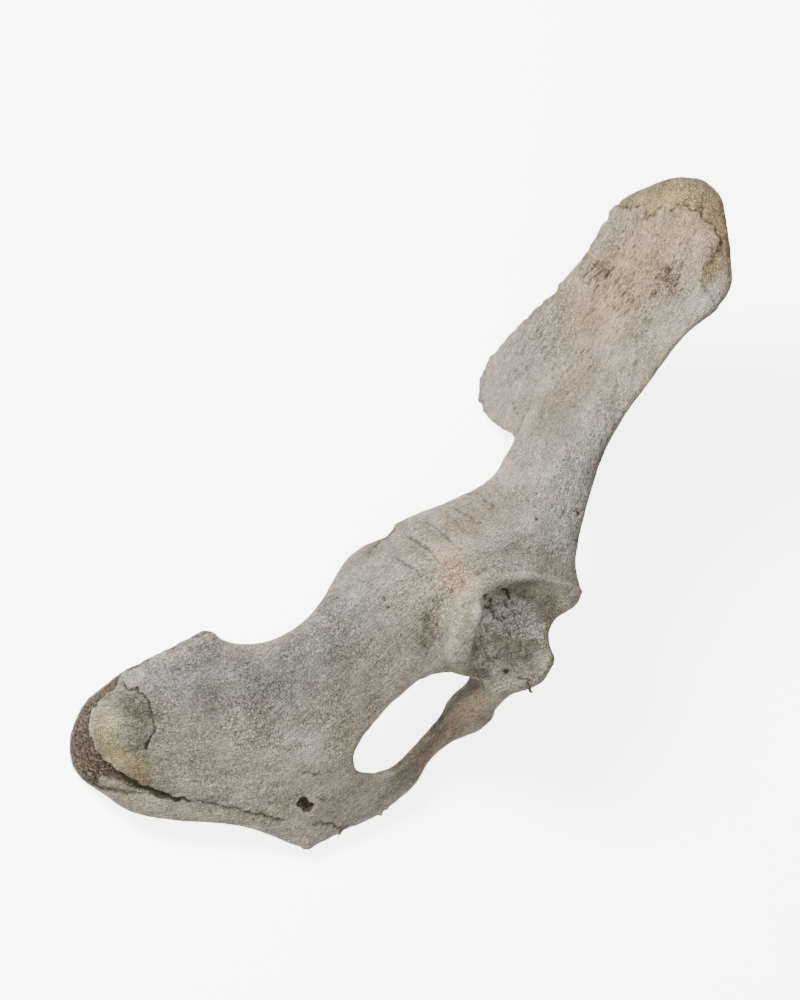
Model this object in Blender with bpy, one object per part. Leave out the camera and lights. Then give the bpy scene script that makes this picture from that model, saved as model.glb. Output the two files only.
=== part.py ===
"""Right hip bone (half pelvis) of a young cow, life size, lying as it rests.

The bone is shaped in a view frame: x to the right, y up, z toward the eye that
looks at its outer side, with the origin in the hip socket's mouth.  A place is
given as x and y across the view at the socket's depth and as a depth toward
the eye, all in millimetres.  A blade through cross lines, from the sitting end
to the hip point, gives the main mass.  Swellings, the socket rim and the pubic
bar are fused with it, the socket and the obturator foramen are cut, and the
hollows and ridges are raised.  Last, the bone is turned onto its three spots.
"""
import math
from dataclasses import dataclass

import bmesh
import bpy
import numpy as np
from mathutils import Matrix, Vector

MM = 0.001
EYE_DISTANCE = 1600.0           # mm from the socket to the eye
EYE_AXIS = (-63.0, 71.5)        # where the eye's axis passes the socket, mm

# Hip socket, mm
SOCKET_CENTRE = (3.5, -1.5)     # of the mouth, across the view
SOCKET_RADIUS = 30.5
SOCKET_LIFT = 5.0               # ball centre in front of the rim plane
SOCKET_AXIS = Vector((0.50, -0.30, 0.81)).normalized()
RIM_DEPTH = 4.0                 # depth of the rim plane at the socket's centre
RIM_RADIUS = 35.0
RIM_THICK = 9.0
RIM_SINK = 8.5                  # how far the rim ring sits below the rim plane
NOTCH_TURN = 232.0              # degrees round the rim, where the notch lies
NOTCH_SPAN = 22.0
NOTCH_THIN = 0.55
NOTCH_DROP = 6.0

# Skin, mm
FIRST_VOXEL = 2.0
LAST_VOXEL = 1.8
FIRST_SMOOTH = 14
LAST_SMOOTH = 5
EDGE_GROW = 1.05                # what smoothing takes off a thin edge
BLADE_FULLNESS = 0.62           # 1 is an elliptical cross section, 0 a box
TAPER_POWER = 0.6               # how full a tapered relief stays toward its ends
FACING_GAIN = 2.5               # how fast a relief fades where the skin turns away
TRIANGLE_GOAL = 11600

# Where it lies (sitting end, sacral corner, symphysis) and its long way
RESTING_SPOTS = ((-242.5, -65.5, 10), (-19, 136.5, -150), (-84, -100, -55))
RESTING_SEARCH = 45.0
RESTING_ROUNDS = 8
FLAT_DEPTH = 0.8                # how far each resting spot is worn flat
FIRST_DOWN = (-0.45, -0.25, -0.86)
SITTING_POINT = (-243.5, -63.5, 15)
HIP_POINT = (110, 228.5, -65)


@dataclass(frozen=True)
class Line:
    """One cross line of the blade, from its upper edge a to its lower edge b.

    depth and half are the depth and the half thickness at the a edge, the
    middle and the b edge.
    """

    a: tuple
    b: tuple
    depth: tuple
    half: tuple


BLADE = (
    # sitting end, with its growth-plate face at the far left
    Line((-245, -57), (-245.5, -70), (13, 13, 13), (7, 8, 7)),
    Line((-237, -40), (-239.5, -81), (19, 20, 16), (13, 16, 12)),
    Line((-227.5, -32), (-228.5, -88), (23, 24, 17), (14, 20, 12)),
    Line((-214.5, -22), (-212, -99.5), (25, 24, 15), (13, 20, 11)),
    Line((-199.5, -14.5), (-187.5, -104.5), (26, 21, 9), (11, 17, 10)),
    Line((-183.5, -5.5), (-157, -107), (25, 14, -2), (9, 13, 9)),
    # ischial plate, down to the symphysis
    Line((-171, 0.5), (-136.5, -112.5), (23, 8, -12), (8, 10, 8)),
    Line((-160, -5.5), (-115.5, -120), (20, 3, -26), (9, 9, 10)),
    Line((-145, -7.5), (-94.5, -110), (17, -2, -36), (10, 9, 11)),
    Line((-127.5, -3), (-74, -100), (13, -7, -46), (11, 9, 11)),
    Line((-115, 5.5), (-55.5, -86), (9, -11, -54), (12, 10, 11)),
    Line((-107.5, 14.5), (-47, -72), (4, -12, -58), (11, 12, 10)),
    # body between the foramen, the socket and the spine crest
    Line((-103, 22.5), (-34, -61), (-2, -12, -58), (9, 14, 10)),
    Line((-98.5, 31), (-18.5, -55), (-8, -10, -54), (8, 16, 11)),
    Line((-94, 38.5), (-10, -43), (-14, -8, -44), (7, 18, 12)),
    Line((-87.5, 45), (-1.5, -34.5), (-20, -7, -34), (5, 20, 14)),
    Line((-79, 50), (14.5, -27.5), (-27, -8, -28), (4, 23, 16)),
    Line((-71, 53), (21, -15), (-33, -9, -24), (3, 25, 16)),
    Line((-65.5, 59.5), (18, -4), (-38, -10, -22), (3, 25, 16)),
    Line((-56.5, 64), (22.5, 7.5), (-42, -11, -20), (4, 25, 16)),
    Line((-47, 67.5), (33, 14), (-45, -14, -18), (4, 23, 14)),
    Line((-37, 71.5), (36.5, 22), (-48, -18, -17), (5, 21, 13)),
    # shaft of the ilium
    Line((-25, 76.5), (33, 36), (-50, -24, -22), (6, 18, 13)),
    Line((-16, 81.5), (36, 54.5), (-52, -30, -28), (7, 15, 12)),
    Line((-10, 86.5), (40, 70.5), (-56, -34, -32), (8, 14, 11)),
    Line((-6, 94.5), (45.5, 88.5), (-60, -38, -36), (8, 14, 11)),
    Line((-2, 103.5), (51, 102.5), (-70, -43, -39), (8, 13, 11)),
    # wing, whose inner corner bends far back
    Line((-8.5, 110), (58.5, 115), (-112, -57, -42), (8, 12, 11)),
    Line((-17.5, 120), (66, 126), (-136, -78, -44), (8, 10, 12)),
    Line((-19.5, 133), (74, 136), (-150, -94, -46), (8, 8, 12)),
    Line((-15, 147), (82.5, 148), (-150, -101, -48), (7, 7, 12)),
    Line((1.5, 168), (93.5, 162), (-140, -100, -50), (6, 7, 12)),
    Line((24, 191), (108.5, 174.5), (-122, -92, -53), (5, 7, 13)),
    Line((38.5, 209.5), (119, 189), (-107, -85, -55), (5, 8, 14)),
    Line((48, 223.5), (118.5, 203.5), (-98, -79, -58), (6, 9, 14)),
    Line((57.5, 236.5), (116.5, 220), (-90, -75, -61), (7, 11, 13)),
    Line((75, 245), (113.5, 239), (-83, -72, -67), (8, 11, 11)),
    Line((86.5, 249.5), (102, 249), (-76, -73, -71), (7, 8, 7)),
)

# Seen outline of the foramen: upper left edge, lower right edge, and the two
# depths at which its leaning walls pass through those edges
FORAMEN = (
    ((-22.5, -22.5), (-20.5, -25.5), -38, -30),
    ((-29, -21), (-26, -31), -28, -38),
    ((-37.5, -20.5), (-31.5, -35), -20, -40),
    ((-46, -22), (-36.5, -41), -17, -42),
    ((-55.5, -26.5), (-39, -48), -20, -46),
    ((-63.5, -32.5), (-44.5, -55.5), -25, -48),
    ((-71, -40), (-51.5, -64), -25, -48),
    ((-78, -48.5), (-59, -71), -24, -46),
    ((-84.5, -56.5), (-66.5, -76.5), -24, -44),
    ((-91, -66.5), (-77.5, -79), -28, -40),
    ((-91, -73), (-86, -78), -34, -34),
)
FORAMEN_LEAN = 0.30             # sideways run of the walls for their depth

# Seen outline of the socket's worn lower rim, closed well outside the bone
MARGIN = ((37.5, 17), (31.5, 12.5), (25, 10), (21, 6.5), (18, 0), (18, -7.5),
          (21.5, -15), (18, -22.5), (14.5, -28), (7.5, -32), (-3.5, -35), (-7.5, -40),
          (-10, -45.5), (3, -60.5), (69, -60.5), (69, 17))
MARGIN_LEAN = 0.10
MARGIN_DEPTH = -20.0
CUT_FRONT = 60.0                # depths between which the cutters reach
CUT_BACK = -130.0


@dataclass(frozen=True)
class Swell:
    """A rounded mass fused with the blade: places (x, y, depth) and radii."""

    name: str
    spots: tuple
    radii: tuple


SWELLS = (
    Swell("pubic bar", ((-11.5, -32, -28), (-22.5, -44, -46), (-37, -55.5, -54),
                        (-51, -68, -58), (-65.5, -83.5, -52)), (10, 9, 5.5, 5, 7)),
    Swell("iliopubic eminence", ((-16.5, -46, -50), (-21.5, -50, -52)), (7, 6)),
    Swell("shaft core", ((16.5, 38.5, -22), (23.5, 60.5, -30), (30.5, 82.5, -36),
                         (38, 102, -41), (48, 121, -53), (59, 139.5, -64)),
          (14, 13, 12, 12, 10, 5)),
    Swell("hip point", ((62, 229, -92), (80, 236.5, -82), (96.5, 236.5, -74),
                        (106, 224.5, -66), (108.5, 209, -62), (105, 191.5, -60)),
          (6, 9, 11, 12, 12, 7)),
    Swell("sacral corner", ((-5, 124.5, -132), (-8, 137.5, -138)), (6, 6)),
    Swell("sitting lobe", ((-224, -47.5, 24), (-218.5, -55, 28), (-215, -62.5, 24)),
          (15, 20, 15)),
    Swell("symphysis", ((-61, -83.5, -54), (-80, -97, -46), (-108.5, -110.5, -31)),
          (7, 8, 7)),
)


@dataclass(frozen=True)
class Relief:
    """A hollow (rise below 0) or a ridge along a short run of places."""

    name: str
    spots: tuple
    width: float
    rise: float
    front: bool = True
    tapered: bool = False


RELIEFS = (
    Relief("plate hollow", ((-165, -49.5), (-140, -47)), 34.0, -4.0),
    Relief("plate hollow low", ((-118.5, -49.5), (-102, -38.5)), 22.0, -2.5),
    Relief("sitting lobe dip", ((-192.5, -38.5), (-195.5, -63.5)), 12.0, -2.0),
    Relief("spongy band of the sitting end", ((-223, -30), (-235, -44), (-240, -58),
                                              (-235, -73), (-222, -82)), 4.5, -2.6),
    Relief("crown of the sitting lobe", ((-220, -49), (-213, -57)), 8.0, 1.6),
    Relief("plate ridge eased", ((-165.5, -14), (-151, -63.5)), 9.0, -1.6, tapered=True),
    Relief("groove under the sitting lobe", ((-232, -62), (-220, -76), (-199, -88),
                                             (-176, -94)), 3.2, -3.2, tapered=True),
    Relief("shaft edge over the crease", ((3, 101), (9.5, 113.5), (22.5, 135.5)),
           6.0, 2.0, tapered=True),
    Relief("crease", ((-3.5, 105.5), (2, 114.5), (10.5, 131)), 5.0, -3.0, tapered=True),
    Relief("muscle ridge 1", ((-22, 78.5), (-12, 67.5)), 3.4, 1.6, tapered=True),
    Relief("muscle ridge 2", ((-34, 71), (-19, 60.5)), 3.2, 1.8, tapered=True),
    Relief("muscle ridge 3", ((-47, 62.5), (-29.5, 45.5)), 3.2, 2.0, tapered=True),
    Relief("muscle ridge 4", ((-58, 56.5), (-40.5, 39)), 3.2, 2.0, tapered=True),
    Relief("muscle ridge 5", ((-66.5, 45.5), (-48.5, 29)), 3.2, 1.6, tapered=True),
    Relief("trough over the rim", ((-19, 35), (-8, 39), (6, 42), (18, 42)), 4.5, -2.2),
    Relief("trough left of the rim", ((-42, -5), (-39, 11), (-31, 24)), 7.0, -1.5),
    Relief("sacroiliac face", ((-3, 126.5), (-8, 142)), 16.0, 3.0, front=False),
    Relief("wing's inner hollow", ((41, 165), (69, 198)), 30.0, -2.0, front=False),
)


def place(x, y, depth):
    """Turn a place in mm into a point of the view frame in metres."""
    near = 1.0 - depth / EYE_DISTANCE
    across = EYE_AXIS[0] + (x - EYE_AXIS[0]) * near
    up = EYE_AXIS[1] + (y - EYE_AXIS[1]) * near
    return Vector((across, up, depth)) * MM


def seen_places(points):
    """Turn points of the view frame in metres back into places x, y in mm."""
    near = 1.0 - points[:, 2:3] / MM / EYE_DISTANCE
    axis = np.array(EYE_AXIS)
    return axis + (points[:, :2] / MM - axis) / near


def spline(rows, position):
    """Catmull-Rom value of a table of rows at a position in row numbers."""
    last = len(rows) - 1
    index = min(int(position), last - 1)
    t = position - index
    p0 = rows[max(index - 1, 0)]
    p1 = rows[index]
    p2 = rows[index + 1]
    p3 = rows[min(index + 2, last)]
    curve = 2.0 * p0 - 5.0 * p1 + 4.0 * p2 - p3
    bend = 3.0 * (p1 - p2) + p3 - p0
    return 0.5 * (2.0 * p1 + (p2 - p0) * t + curve * t * t + bend * t ** 3)


def through(values, t):
    """Quadratic through three values at t = 0, 0.5 and 1."""
    start, middle, end = values
    return (start * (1 - t) * (1 - 2 * t) + 4 * middle * t * (1 - t)
            + end * t * (2 * t - 1))


def to_object(mesh, name):
    """Turn a bmesh into a linked object."""
    bmesh.ops.recalc_face_normals(mesh, faces=mesh.faces)
    data = bpy.data.meshes.new(name)
    mesh.to_mesh(data)
    mesh.free()
    thing = bpy.data.objects.new(name, data)
    bpy.context.scene.collection.objects.link(thing)
    return thing


def bridge(mesh, ring, ahead):
    """Faces between two rings of the same number of points."""
    size = len(ring)
    for corner in range(size):
        after = (corner + 1) % size
        mesh.faces.new((ring[corner], ring[after], ahead[after], ahead[corner]))


def blade(rings_per_line=4, around=40):
    """The main mass, from the sitting end to the hip point."""
    table = [np.array(line.a + line.b + line.depth + line.half, dtype=float)
             for line in BLADE]
    mesh = bmesh.new()
    rings = []
    for step in range((len(table) - 1) * rings_per_line + 1):
        row = spline(table, step / rings_per_line)
        a_edge, b_edge = row[0:2], row[2:4]
        outward = (b_edge - a_edge) / np.linalg.norm(b_edge - a_edge) * EDGE_GROW
        ring = []
        for corner in range(around):
            turn = 2.0 * math.pi * corner / around
            t = 0.5 - 0.5 * math.cos(turn)
            lift = math.sin(turn)
            side = math.copysign(abs(lift) ** BLADE_FULLNESS, lift)
            spot = a_edge + (b_edge - a_edge) * t + outward * (2.0 * t - 1.0)
            depth = through(row[4:7], t) + side * through(row[7:10], t)
            ring.append(mesh.verts.new(place(*spot, depth)))
        rings.append(ring)
    for ring, ahead in zip(rings, rings[1:]):
        bridge(mesh, ring, ahead)
    mesh.faces.new(rings[0][::-1])
    mesh.faces.new(rings[-1])
    return to_object(mesh, "blade")


def swelling(form, link_length=3.0):
    """A chain of balls with tapered links, made as one overlapping mesh."""
    mesh = bmesh.new()
    centres = [place(*spot) for spot in form.spots]
    for index in range(len(centres) - 1):
        start, end = centres[index], centres[index + 1]
        wide, narrow = form.radii[index], form.radii[index + 1]
        links = max(2, int((end - start).length / MM / link_length))
        for link in range(links + 1):
            part = link / links
            radius = (wide + (narrow - wide) * part) * MM
            spot = Matrix.Translation(start.lerp(end, part))
            bmesh.ops.create_icosphere(mesh, subdivisions=2, radius=radius,
                                       matrix=spot)
    return to_object(mesh, form.name)


def socket_frame():
    """Matrix of the rim plane, its z along the socket's axis."""
    turn = Vector((0, 0, 1)).rotation_difference(SOCKET_AXIS).to_matrix().to_4x4()
    return Matrix.Translation(place(*SOCKET_CENTRE, RIM_DEPTH)) @ turn


def rim_ring(around=64, ring_points=14):
    """The raised rim round the socket, thinner and lower at the notch."""
    mesh = bmesh.new()
    frame = socket_frame()
    rings = []
    for step in range(around):
        turn = 2.0 * math.pi * step / around
        notch = math.exp(-((math.degrees(turn) - NOTCH_TURN) / NOTCH_SPAN) ** 2)
        thick = RIM_THICK * (1.0 - NOTCH_THIN * notch)
        ring = []
        for corner in range(ring_points):
            swing = 2.0 * math.pi * corner / ring_points
            reach = RIM_RADIUS + thick * math.cos(swing)
            rise = thick * math.sin(swing) - RIM_SINK - NOTCH_DROP * notch
            spot = Vector((reach * math.cos(turn), reach * math.sin(turn), rise))
            ring.append(mesh.verts.new(frame @ (spot * MM)))
        rings.append(ring)
    for ring, ahead in zip(rings, rings[1:] + rings[:1]):
        bridge(mesh, ring, ahead)
    return to_object(mesh, "socket rim")


def socket_cutter():
    """The ball that hollows the socket."""
    mesh = bmesh.new()
    bmesh.ops.create_icosphere(mesh, subdivisions=5, radius=SOCKET_RADIUS * MM)
    ball = to_object(mesh, "socket cutter")
    ball.data.transform(socket_frame() @ Matrix.Translation((0, 0, SOCKET_LIFT * MM)))
    return ball


def prism(name, front, back):
    """A cutter between a loop of places at the front and one at the back."""
    mesh = bmesh.new()
    rings = [[mesh.verts.new(place(*spot)) for spot in loop] for loop in (front, back)]
    bridge(mesh, *rings)
    mesh.faces.new(rings[0])
    mesh.faces.new(rings[1][::-1])
    return to_object(mesh, name)


def leaned(spot, seen_depth, depth, lean):
    """A wall's place at a depth, when it passes its seen place at seen_depth."""
    run = lean * (depth - seen_depth)
    return spot[0] + run, spot[1] - run, depth


def foramen_cutter():
    """The opening between the ischium and the pubis, its walls leaning."""
    loops = []
    for depth in (CUT_FRONT, CUT_BACK):
        upper = [leaned(row[0], row[2], depth, FORAMEN_LEAN) for row in FORAMEN]
        lower = [leaned(row[1], row[3], depth, FORAMEN_LEAN) for row in FORAMEN]
        loops.append(upper + lower[::-1])
    return prism("foramen cutter", *loops)


def margin_cutter():
    """What is missing outside the socket's worn lower rim."""
    loops = [[leaned(spot, MARGIN_DEPTH, depth, -MARGIN_LEAN) for spot in MARGIN]
             for depth in (CUT_FRONT, CUT_BACK)]
    return prism("margin cutter", *loops)


def fuse(things, name):
    """Join overlapping bodies into one mesh."""
    mesh = bmesh.new()
    for thing in things:
        mesh.from_mesh(thing.data)
        bpy.data.objects.remove(thing, do_unlink=True)
    return to_object(mesh, name)


def settle(thing):
    """Apply the modifiers of an object to its mesh."""
    graph = bpy.context.evaluated_depsgraph_get()
    done = bpy.data.meshes.new_from_object(thing.evaluated_get(graph))
    thing.modifiers.clear()
    thing.data = done


def revoxel(thing, size):
    """Rebuild an object's skin on a voxel grid, which fuses what overlaps."""
    remesh = thing.modifiers.new("remesh", "REMESH")
    remesh.mode = "VOXEL"
    remesh.voxel_size = size * MM
    settle(thing)


def cut(thing, cutter):
    """Take a cutter out of an object."""
    tool = thing.modifiers.new("cut", "BOOLEAN")
    tool.operation = "DIFFERENCE"
    tool.solver = "EXACT"
    tool.object = cutter
    settle(thing)
    bpy.data.objects.remove(cutter, do_unlink=True)


def smooth(thing, rounds):
    """Even out a skin."""
    relax = thing.modifiers.new("relax", "SMOOTH")
    relax.factor = 0.5
    relax.iterations = rounds
    settle(thing)


def read_points(thing):
    """Vertex positions and normals as arrays."""
    count = len(thing.data.vertices)
    spots = np.empty(count * 3)
    thing.data.vertices.foreach_get("co", spots)
    normals = np.empty(count * 3)
    thing.data.vertices.foreach_get("normal", normals)
    return spots.reshape(-1, 3), normals.reshape(-1, 3)


def write_points(thing, spots):
    """Put changed vertex positions back."""
    thing.data.vertices.foreach_set("co", spots.ravel())
    thing.data.update()


def along_run(seen, spots):
    """Distance in mm from seen places to a run of places, and how far along."""
    corners = [np.array(spot, dtype=float) for spot in spots]
    best = np.full(len(seen), np.inf)
    along = np.zeros(len(seen))
    links = len(corners) - 1
    for index, (start, end) in enumerate(zip(corners, corners[1:])):
        run = end - start
        part = np.clip((seen - start) @ run / (run @ run), 0.0, 1.0)
        gap = np.linalg.norm(seen - start - part[:, None] * run, axis=1)
        along = np.where(gap < best, (index + part) / links, along)
        best = np.minimum(best, gap)
    return best, along


def raise_reliefs(thing):
    """Raise and hollow the skin where the reliefs run."""
    spots, normals = read_points(thing)
    seen = seen_places(spots)
    for relief in RELIEFS:
        gap, along = along_run(seen, relief.spots)
        weight = np.exp(-(gap / relief.width) ** 2)
        if relief.tapered:
            weight = weight * np.sin(math.pi * along) ** TAPER_POWER
        facing = normals[:, 2] if relief.front else -normals[:, 2]
        weight = weight * np.clip(facing * FACING_GAIN, 0.0, 1.0)
        spots = spots + normals * (weight * relief.rise * MM)[:, None]
    write_points(thing, spots)


def thin_out(thing, goal):
    """Bring the skin down to a number of triangles."""
    thing.modifiers.new("triangles", "TRIANGULATE")
    settle(thing)
    tool = thing.modifiers.new("thin", "DECIMATE")
    tool.ratio = min(1.0, goal / len(thing.data.polygons))
    settle(thing)


def make_bone():
    """The bone in the view frame."""
    masses = [blade(), rim_ring()] + [swelling(form) for form in SWELLS]
    bone = fuse(masses, "hip_bone")
    revoxel(bone, FIRST_VOXEL)
    smooth(bone, FIRST_SMOOTH)
    for cutter in (foramen_cutter(), margin_cutter(), socket_cutter()):
        cut(bone, cutter)
    revoxel(bone, LAST_VOXEL)
    smooth(bone, LAST_SMOOTH)
    raise_reliefs(bone)
    thin_out(bone, TRIANGLE_GOAL)
    return bone


def rest_turn(spots):
    """Turn that lays the bone on its three resting spots, long way along x."""
    feet = np.array([place(*spot) for spot in RESTING_SPOTS])
    down = np.array(FIRST_DOWN)
    for _ in range(RESTING_ROUNDS):
        lowest = []
        for foot in feet:
            gap = np.linalg.norm(spots[:, :2] - foot[:2], axis=1)
            drop = np.where(gap < RESTING_SEARCH * MM, spots @ down, -np.inf)
            lowest.append(spots[int(np.argmax(drop))])
        down = np.cross(lowest[1] - lowest[0], lowest[2] - lowest[0])
        down = down / -math.copysign(np.linalg.norm(down), down[2])
    along = np.array(place(*HIP_POINT)) - np.array(place(*SITTING_POINT))
    along = along - down * (along @ down)
    along = along / np.linalg.norm(along)
    return np.array((along, np.cross(-down, along), -down))


def lay_down(thing):
    """Turn the bone onto its resting spots, wear them flat, and centre it."""
    spots, _ = read_points(thing)
    turn = rest_turn(spots)
    spots = spots @ turn.T
    middle = (spots.min(axis=0) + spots.max(axis=0)) / 2.0
    shift = np.array((middle[0], middle[1], spots[:, 2].min() + FLAT_DEPTH * MM))
    spots = spots - shift
    spots[:, 2] = np.maximum(spots[:, 2], 0.0)
    write_points(thing, spots)
    return turn, shift


def colour(thing, name, tint, roughness):
    """Give an object its own plain material and smooth shading."""
    paint = bpy.data.materials.new(name)
    paint.use_nodes = True
    shader = paint.node_tree.nodes["Principled BSDF"]
    shader.inputs["Base Color"].default_value = (*tint, 1.0)
    shader.inputs["Roughness"].default_value = roughness
    thing.data.materials.clear()
    thing.data.materials.append(paint)
    thing.data.shade_smooth()


def main():
    """Build the hip bone and lay it down."""
    for thing in list(bpy.data.objects):
        bpy.data.objects.remove(thing, do_unlink=True)
    bone = make_bone()
    lay_down(bone)
    colour(bone, "weathered_bone", (0.47, 0.43, 0.36), 0.85)


main()
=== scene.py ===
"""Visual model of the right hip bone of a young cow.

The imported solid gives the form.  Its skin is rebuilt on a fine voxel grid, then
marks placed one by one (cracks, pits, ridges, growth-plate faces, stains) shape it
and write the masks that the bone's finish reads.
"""
from __future__ import annotations

import logging
import math
from dataclasses import dataclass, replace
from enum import Enum

import bmesh
import bpy
import numpy as np
from mathutils import Matrix, Vector


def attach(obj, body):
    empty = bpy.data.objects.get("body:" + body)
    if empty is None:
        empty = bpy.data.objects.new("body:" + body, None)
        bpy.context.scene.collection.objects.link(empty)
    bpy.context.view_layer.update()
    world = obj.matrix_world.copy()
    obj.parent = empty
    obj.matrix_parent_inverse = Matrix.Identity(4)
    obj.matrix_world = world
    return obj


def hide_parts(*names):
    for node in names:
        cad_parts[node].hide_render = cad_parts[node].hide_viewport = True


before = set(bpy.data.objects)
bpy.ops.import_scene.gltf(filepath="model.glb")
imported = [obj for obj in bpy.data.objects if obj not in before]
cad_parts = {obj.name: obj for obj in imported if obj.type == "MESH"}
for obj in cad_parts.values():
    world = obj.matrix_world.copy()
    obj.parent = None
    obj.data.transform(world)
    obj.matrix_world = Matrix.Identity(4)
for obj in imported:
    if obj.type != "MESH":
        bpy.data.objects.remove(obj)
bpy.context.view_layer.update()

MM = 0.001                      # a millimetre in metres
LOG = logging.getLogger("hip_bone")

Span = tuple[float, float, float, float]        # from low, high to low, high
Socket = bpy.types.NodeSocket


@dataclass(frozen=True)
class PictureView:
    """The photograph's eye, and places across its view in millimetres.

    A place is (x, y) to the right and up of the hip socket's mouth, at the
    socket's distance from the eye.
    """

    toward_eye: tuple[float, float, float] = (-0.45632, 0.04992, 0.88842)
    picture_up: tuple[float, float, float] = (0.57909, 0.77472, 0.25391)
    socket_mouth: tuple[float, float, float] = (-0.02129, -0.05291, 0.10366)
    eye_distance_mm: float = 1600.0
    axis_mm: tuple[float, float] = (-63.0, 71.5)
    picture_height_mm: float = 550.0

    def basis(self) -> np.ndarray:
        """Find the view's own axes.

        Returns:
            Rows of unit vectors to the right, up and toward the eye.
        """
        toward = np.array(self.toward_eye) / np.linalg.norm(self.toward_eye)
        right = np.cross(np.array(self.picture_up), toward)
        right = right / np.linalg.norm(right)
        return np.array((right, np.cross(toward, right), toward))

    def seen(self, spots: np.ndarray) -> tuple[np.ndarray, np.ndarray]:
        """Find where points of the frame are seen.

        Args:
            spots: points in metres, one a row.

        Returns:
            Their places in mm, and their depths toward the eye in mm.
        """
        local = (spots - np.array(self.socket_mouth)) @ self.basis().T / MM
        near = 1.0 - local[:, 2:3] / self.eye_distance_mm
        axis = np.array(self.axis_mm)
        return axis + (local[:, :2] - axis) / near, local[:, 2]

    def point(self, x: float, y: float, depth: float) -> Vector:
        """Find the point of the frame that is seen at a place.

        Args:
            x: place to the right in mm.
            y: place up in mm.
            depth: depth toward the eye in mm.

        Returns:
            The point in metres.
        """
        near = 1.0 - depth / self.eye_distance_mm
        across = self.axis_mm[0] + (x - self.axis_mm[0]) * near
        up = self.axis_mm[1] + (y - self.axis_mm[1]) * near
        local = np.array((across, up, depth)) * MM
        return Vector(np.array(self.socket_mouth) + local @ self.basis())

    def direction(self, right: float, up: float, toward: float) -> Vector:
        """Direction in the frame for one given across the view."""
        return Vector(np.array((right, up, toward)) @ self.basis()).normalized()


VIEW = PictureView()

HASH_STEPS = (374761393, 668265263, 974711)     # scatter the knots' numbers
HASH_SEED = 362437
HASH_MIX = 1274126177
HASH_SHIFTS = (13, 16)
HASH_MASK = 0xFFFFFFFF


def lattice_noise(spots: np.ndarray, size: float, seed: int) -> np.ndarray:
    """Smooth value noise.

    Args:
        spots: points in mm, one a row.
        size: distance between the noise's knots in mm.
        seed: number that picks the pattern.

    Returns:
        One value from -1 to 1 for each point.
    """
    grid = spots / size
    cell = np.floor(grid).astype(np.int64)
    part = grid - cell
    part = part * part * (3.0 - 2.0 * part)
    total = np.zeros(len(spots))
    for corner in range(8):
        step = np.array((corner & 1, corner >> 1 & 1, corner >> 2 & 1))
        knot = cell + step
        code = knot @ np.array(HASH_STEPS) + seed * HASH_SEED & HASH_MASK
        code = (code ^ (code >> HASH_SHIFTS[0])) * HASH_MIX & HASH_MASK
        code = code ^ (code >> HASH_SHIFTS[1])
        share = np.prod(np.where(step == 1, part, 1.0 - part), axis=1)
        total += share * (code / (HASH_MASK / 2) - 1.0)
    return total


def layered_noise(spots: np.ndarray, size: float, layers: int, seed: int) -> np.ndarray:
    """Sum of value noises, each half the size and strength of the last.

    Args:
        spots: points in mm, one a row.
        size: knot distance of the coarsest layer in mm.
        layers: number of layers.
        seed: number that picks the pattern.

    Returns:
        One value from about -1 to 1 for each point.
    """
    total = np.zeros(len(spots))
    for layer in range(layers):
        total += lattice_noise(spots, size / 2 ** layer, seed + layer) / 2 ** layer
    return total / (2.0 - 2.0 ** (1 - layers))


def smooth_step(value: np.ndarray) -> np.ndarray:
    """Ease a value from 0 to 1."""
    value = np.clip(value, 0.0, 1.0)
    return value * value * (3.0 - 2.0 * value)


class Tone(Enum):
    """A mask that the finish reads from the skin, by its attribute's name."""

    PINK = "tone_pink"
    BLUE = "tone_blue"
    # stains, and also painted shade that some marks lay
    STAIN_AND_SHADE = "tone_stain_and_shade"
    CREAM = "tone_cream"
    SPONGY = "tone_spongy"
    DARK = "tone_dark"
    CRACKLE = "tone_crackle"
    # pale bone, and also painted light that some marks lay on shaded surfaces
    PALE = "tone_pale"


class Kind(Enum):
    """How a mark's places are read."""

    LINE = "line"
    AREA = "area"


class Side(Enum):
    """Which side of the bone a mark is on: its sign toward the eye."""

    OUTER = 1
    INNER = -1
    BOTH = 0


PINK, BLUE, STAIN_AND_SHADE, CREAM, SPONGY, DARK, CRACKLE, PALE = Tone
AREA = Kind.AREA
INNER, BOTH = Side.INNER, Side.BOTH


@dataclass(frozen=True)
class Mark:
    """One feature of the skin, placed across the view.

    A line fades away from its run of places, and one place makes a round spot.
    An area is filled inside its loop of places, and width is its soft border.
    """

    name: str
    places: tuple[tuple[float, float], ...]
    width: float
    rise: float = 0.0
    tone: Tone | None = None
    strength: float = 0.0
    kind: Kind = Kind.LINE
    ragged: float = 0.4
    tapered: bool = False
    clears: bool = False
    side: Side = Side.OUTER


def tint(name: str, tone: Tone, strength: float, width: float, ragged: float,
         *places: tuple[float, float]) -> Mark:
    """Mark that only colours the skin."""
    return Mark(name, places, width, 0.0, tone, strength, ragged=ragged)


def muscle_lines() -> tuple[Mark, ...]:
    """Grooves that muscles left, each with a thin line of painted shade down it and a ridge
    beside it, whose pink is a painted highlight on its upper side.

    Returns:
        Three marks for each groove.
    """
    marks = []
    for number, (left, top, right, low) in enumerate(MUSCLE_LINES, 1):
        name = f"muscle line {number}"
        middle = ((left + right + 1) / 2, (top + low - 1) / 2)
        marks += [
            Mark(name, ((left, top), (right, low)), 3.4, -1.7, BLUE, 0.6, ragged=0.3,
                 tapered=True),
            # painted shade: a thin dark line down the groove, where its shade falls
            Mark(f"{name}, painted shade", ((left - 1, top - 2), middle, (right, low)), 0.9, -0.5,
                 STAIN_AND_SHADE, 0.6, ragged=1.0, tapered=True),
            # a real ridge; its pink tint is a painted highlight on the side toward the light
            Mark(f"muscle ridge {number}", ((left + 6, top + 3), (right + 5, low + 4)),
                 2.2, 1.1, PINK, 0.5, ragged=0.4, tapered=True)]
    return tuple(marks)


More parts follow.
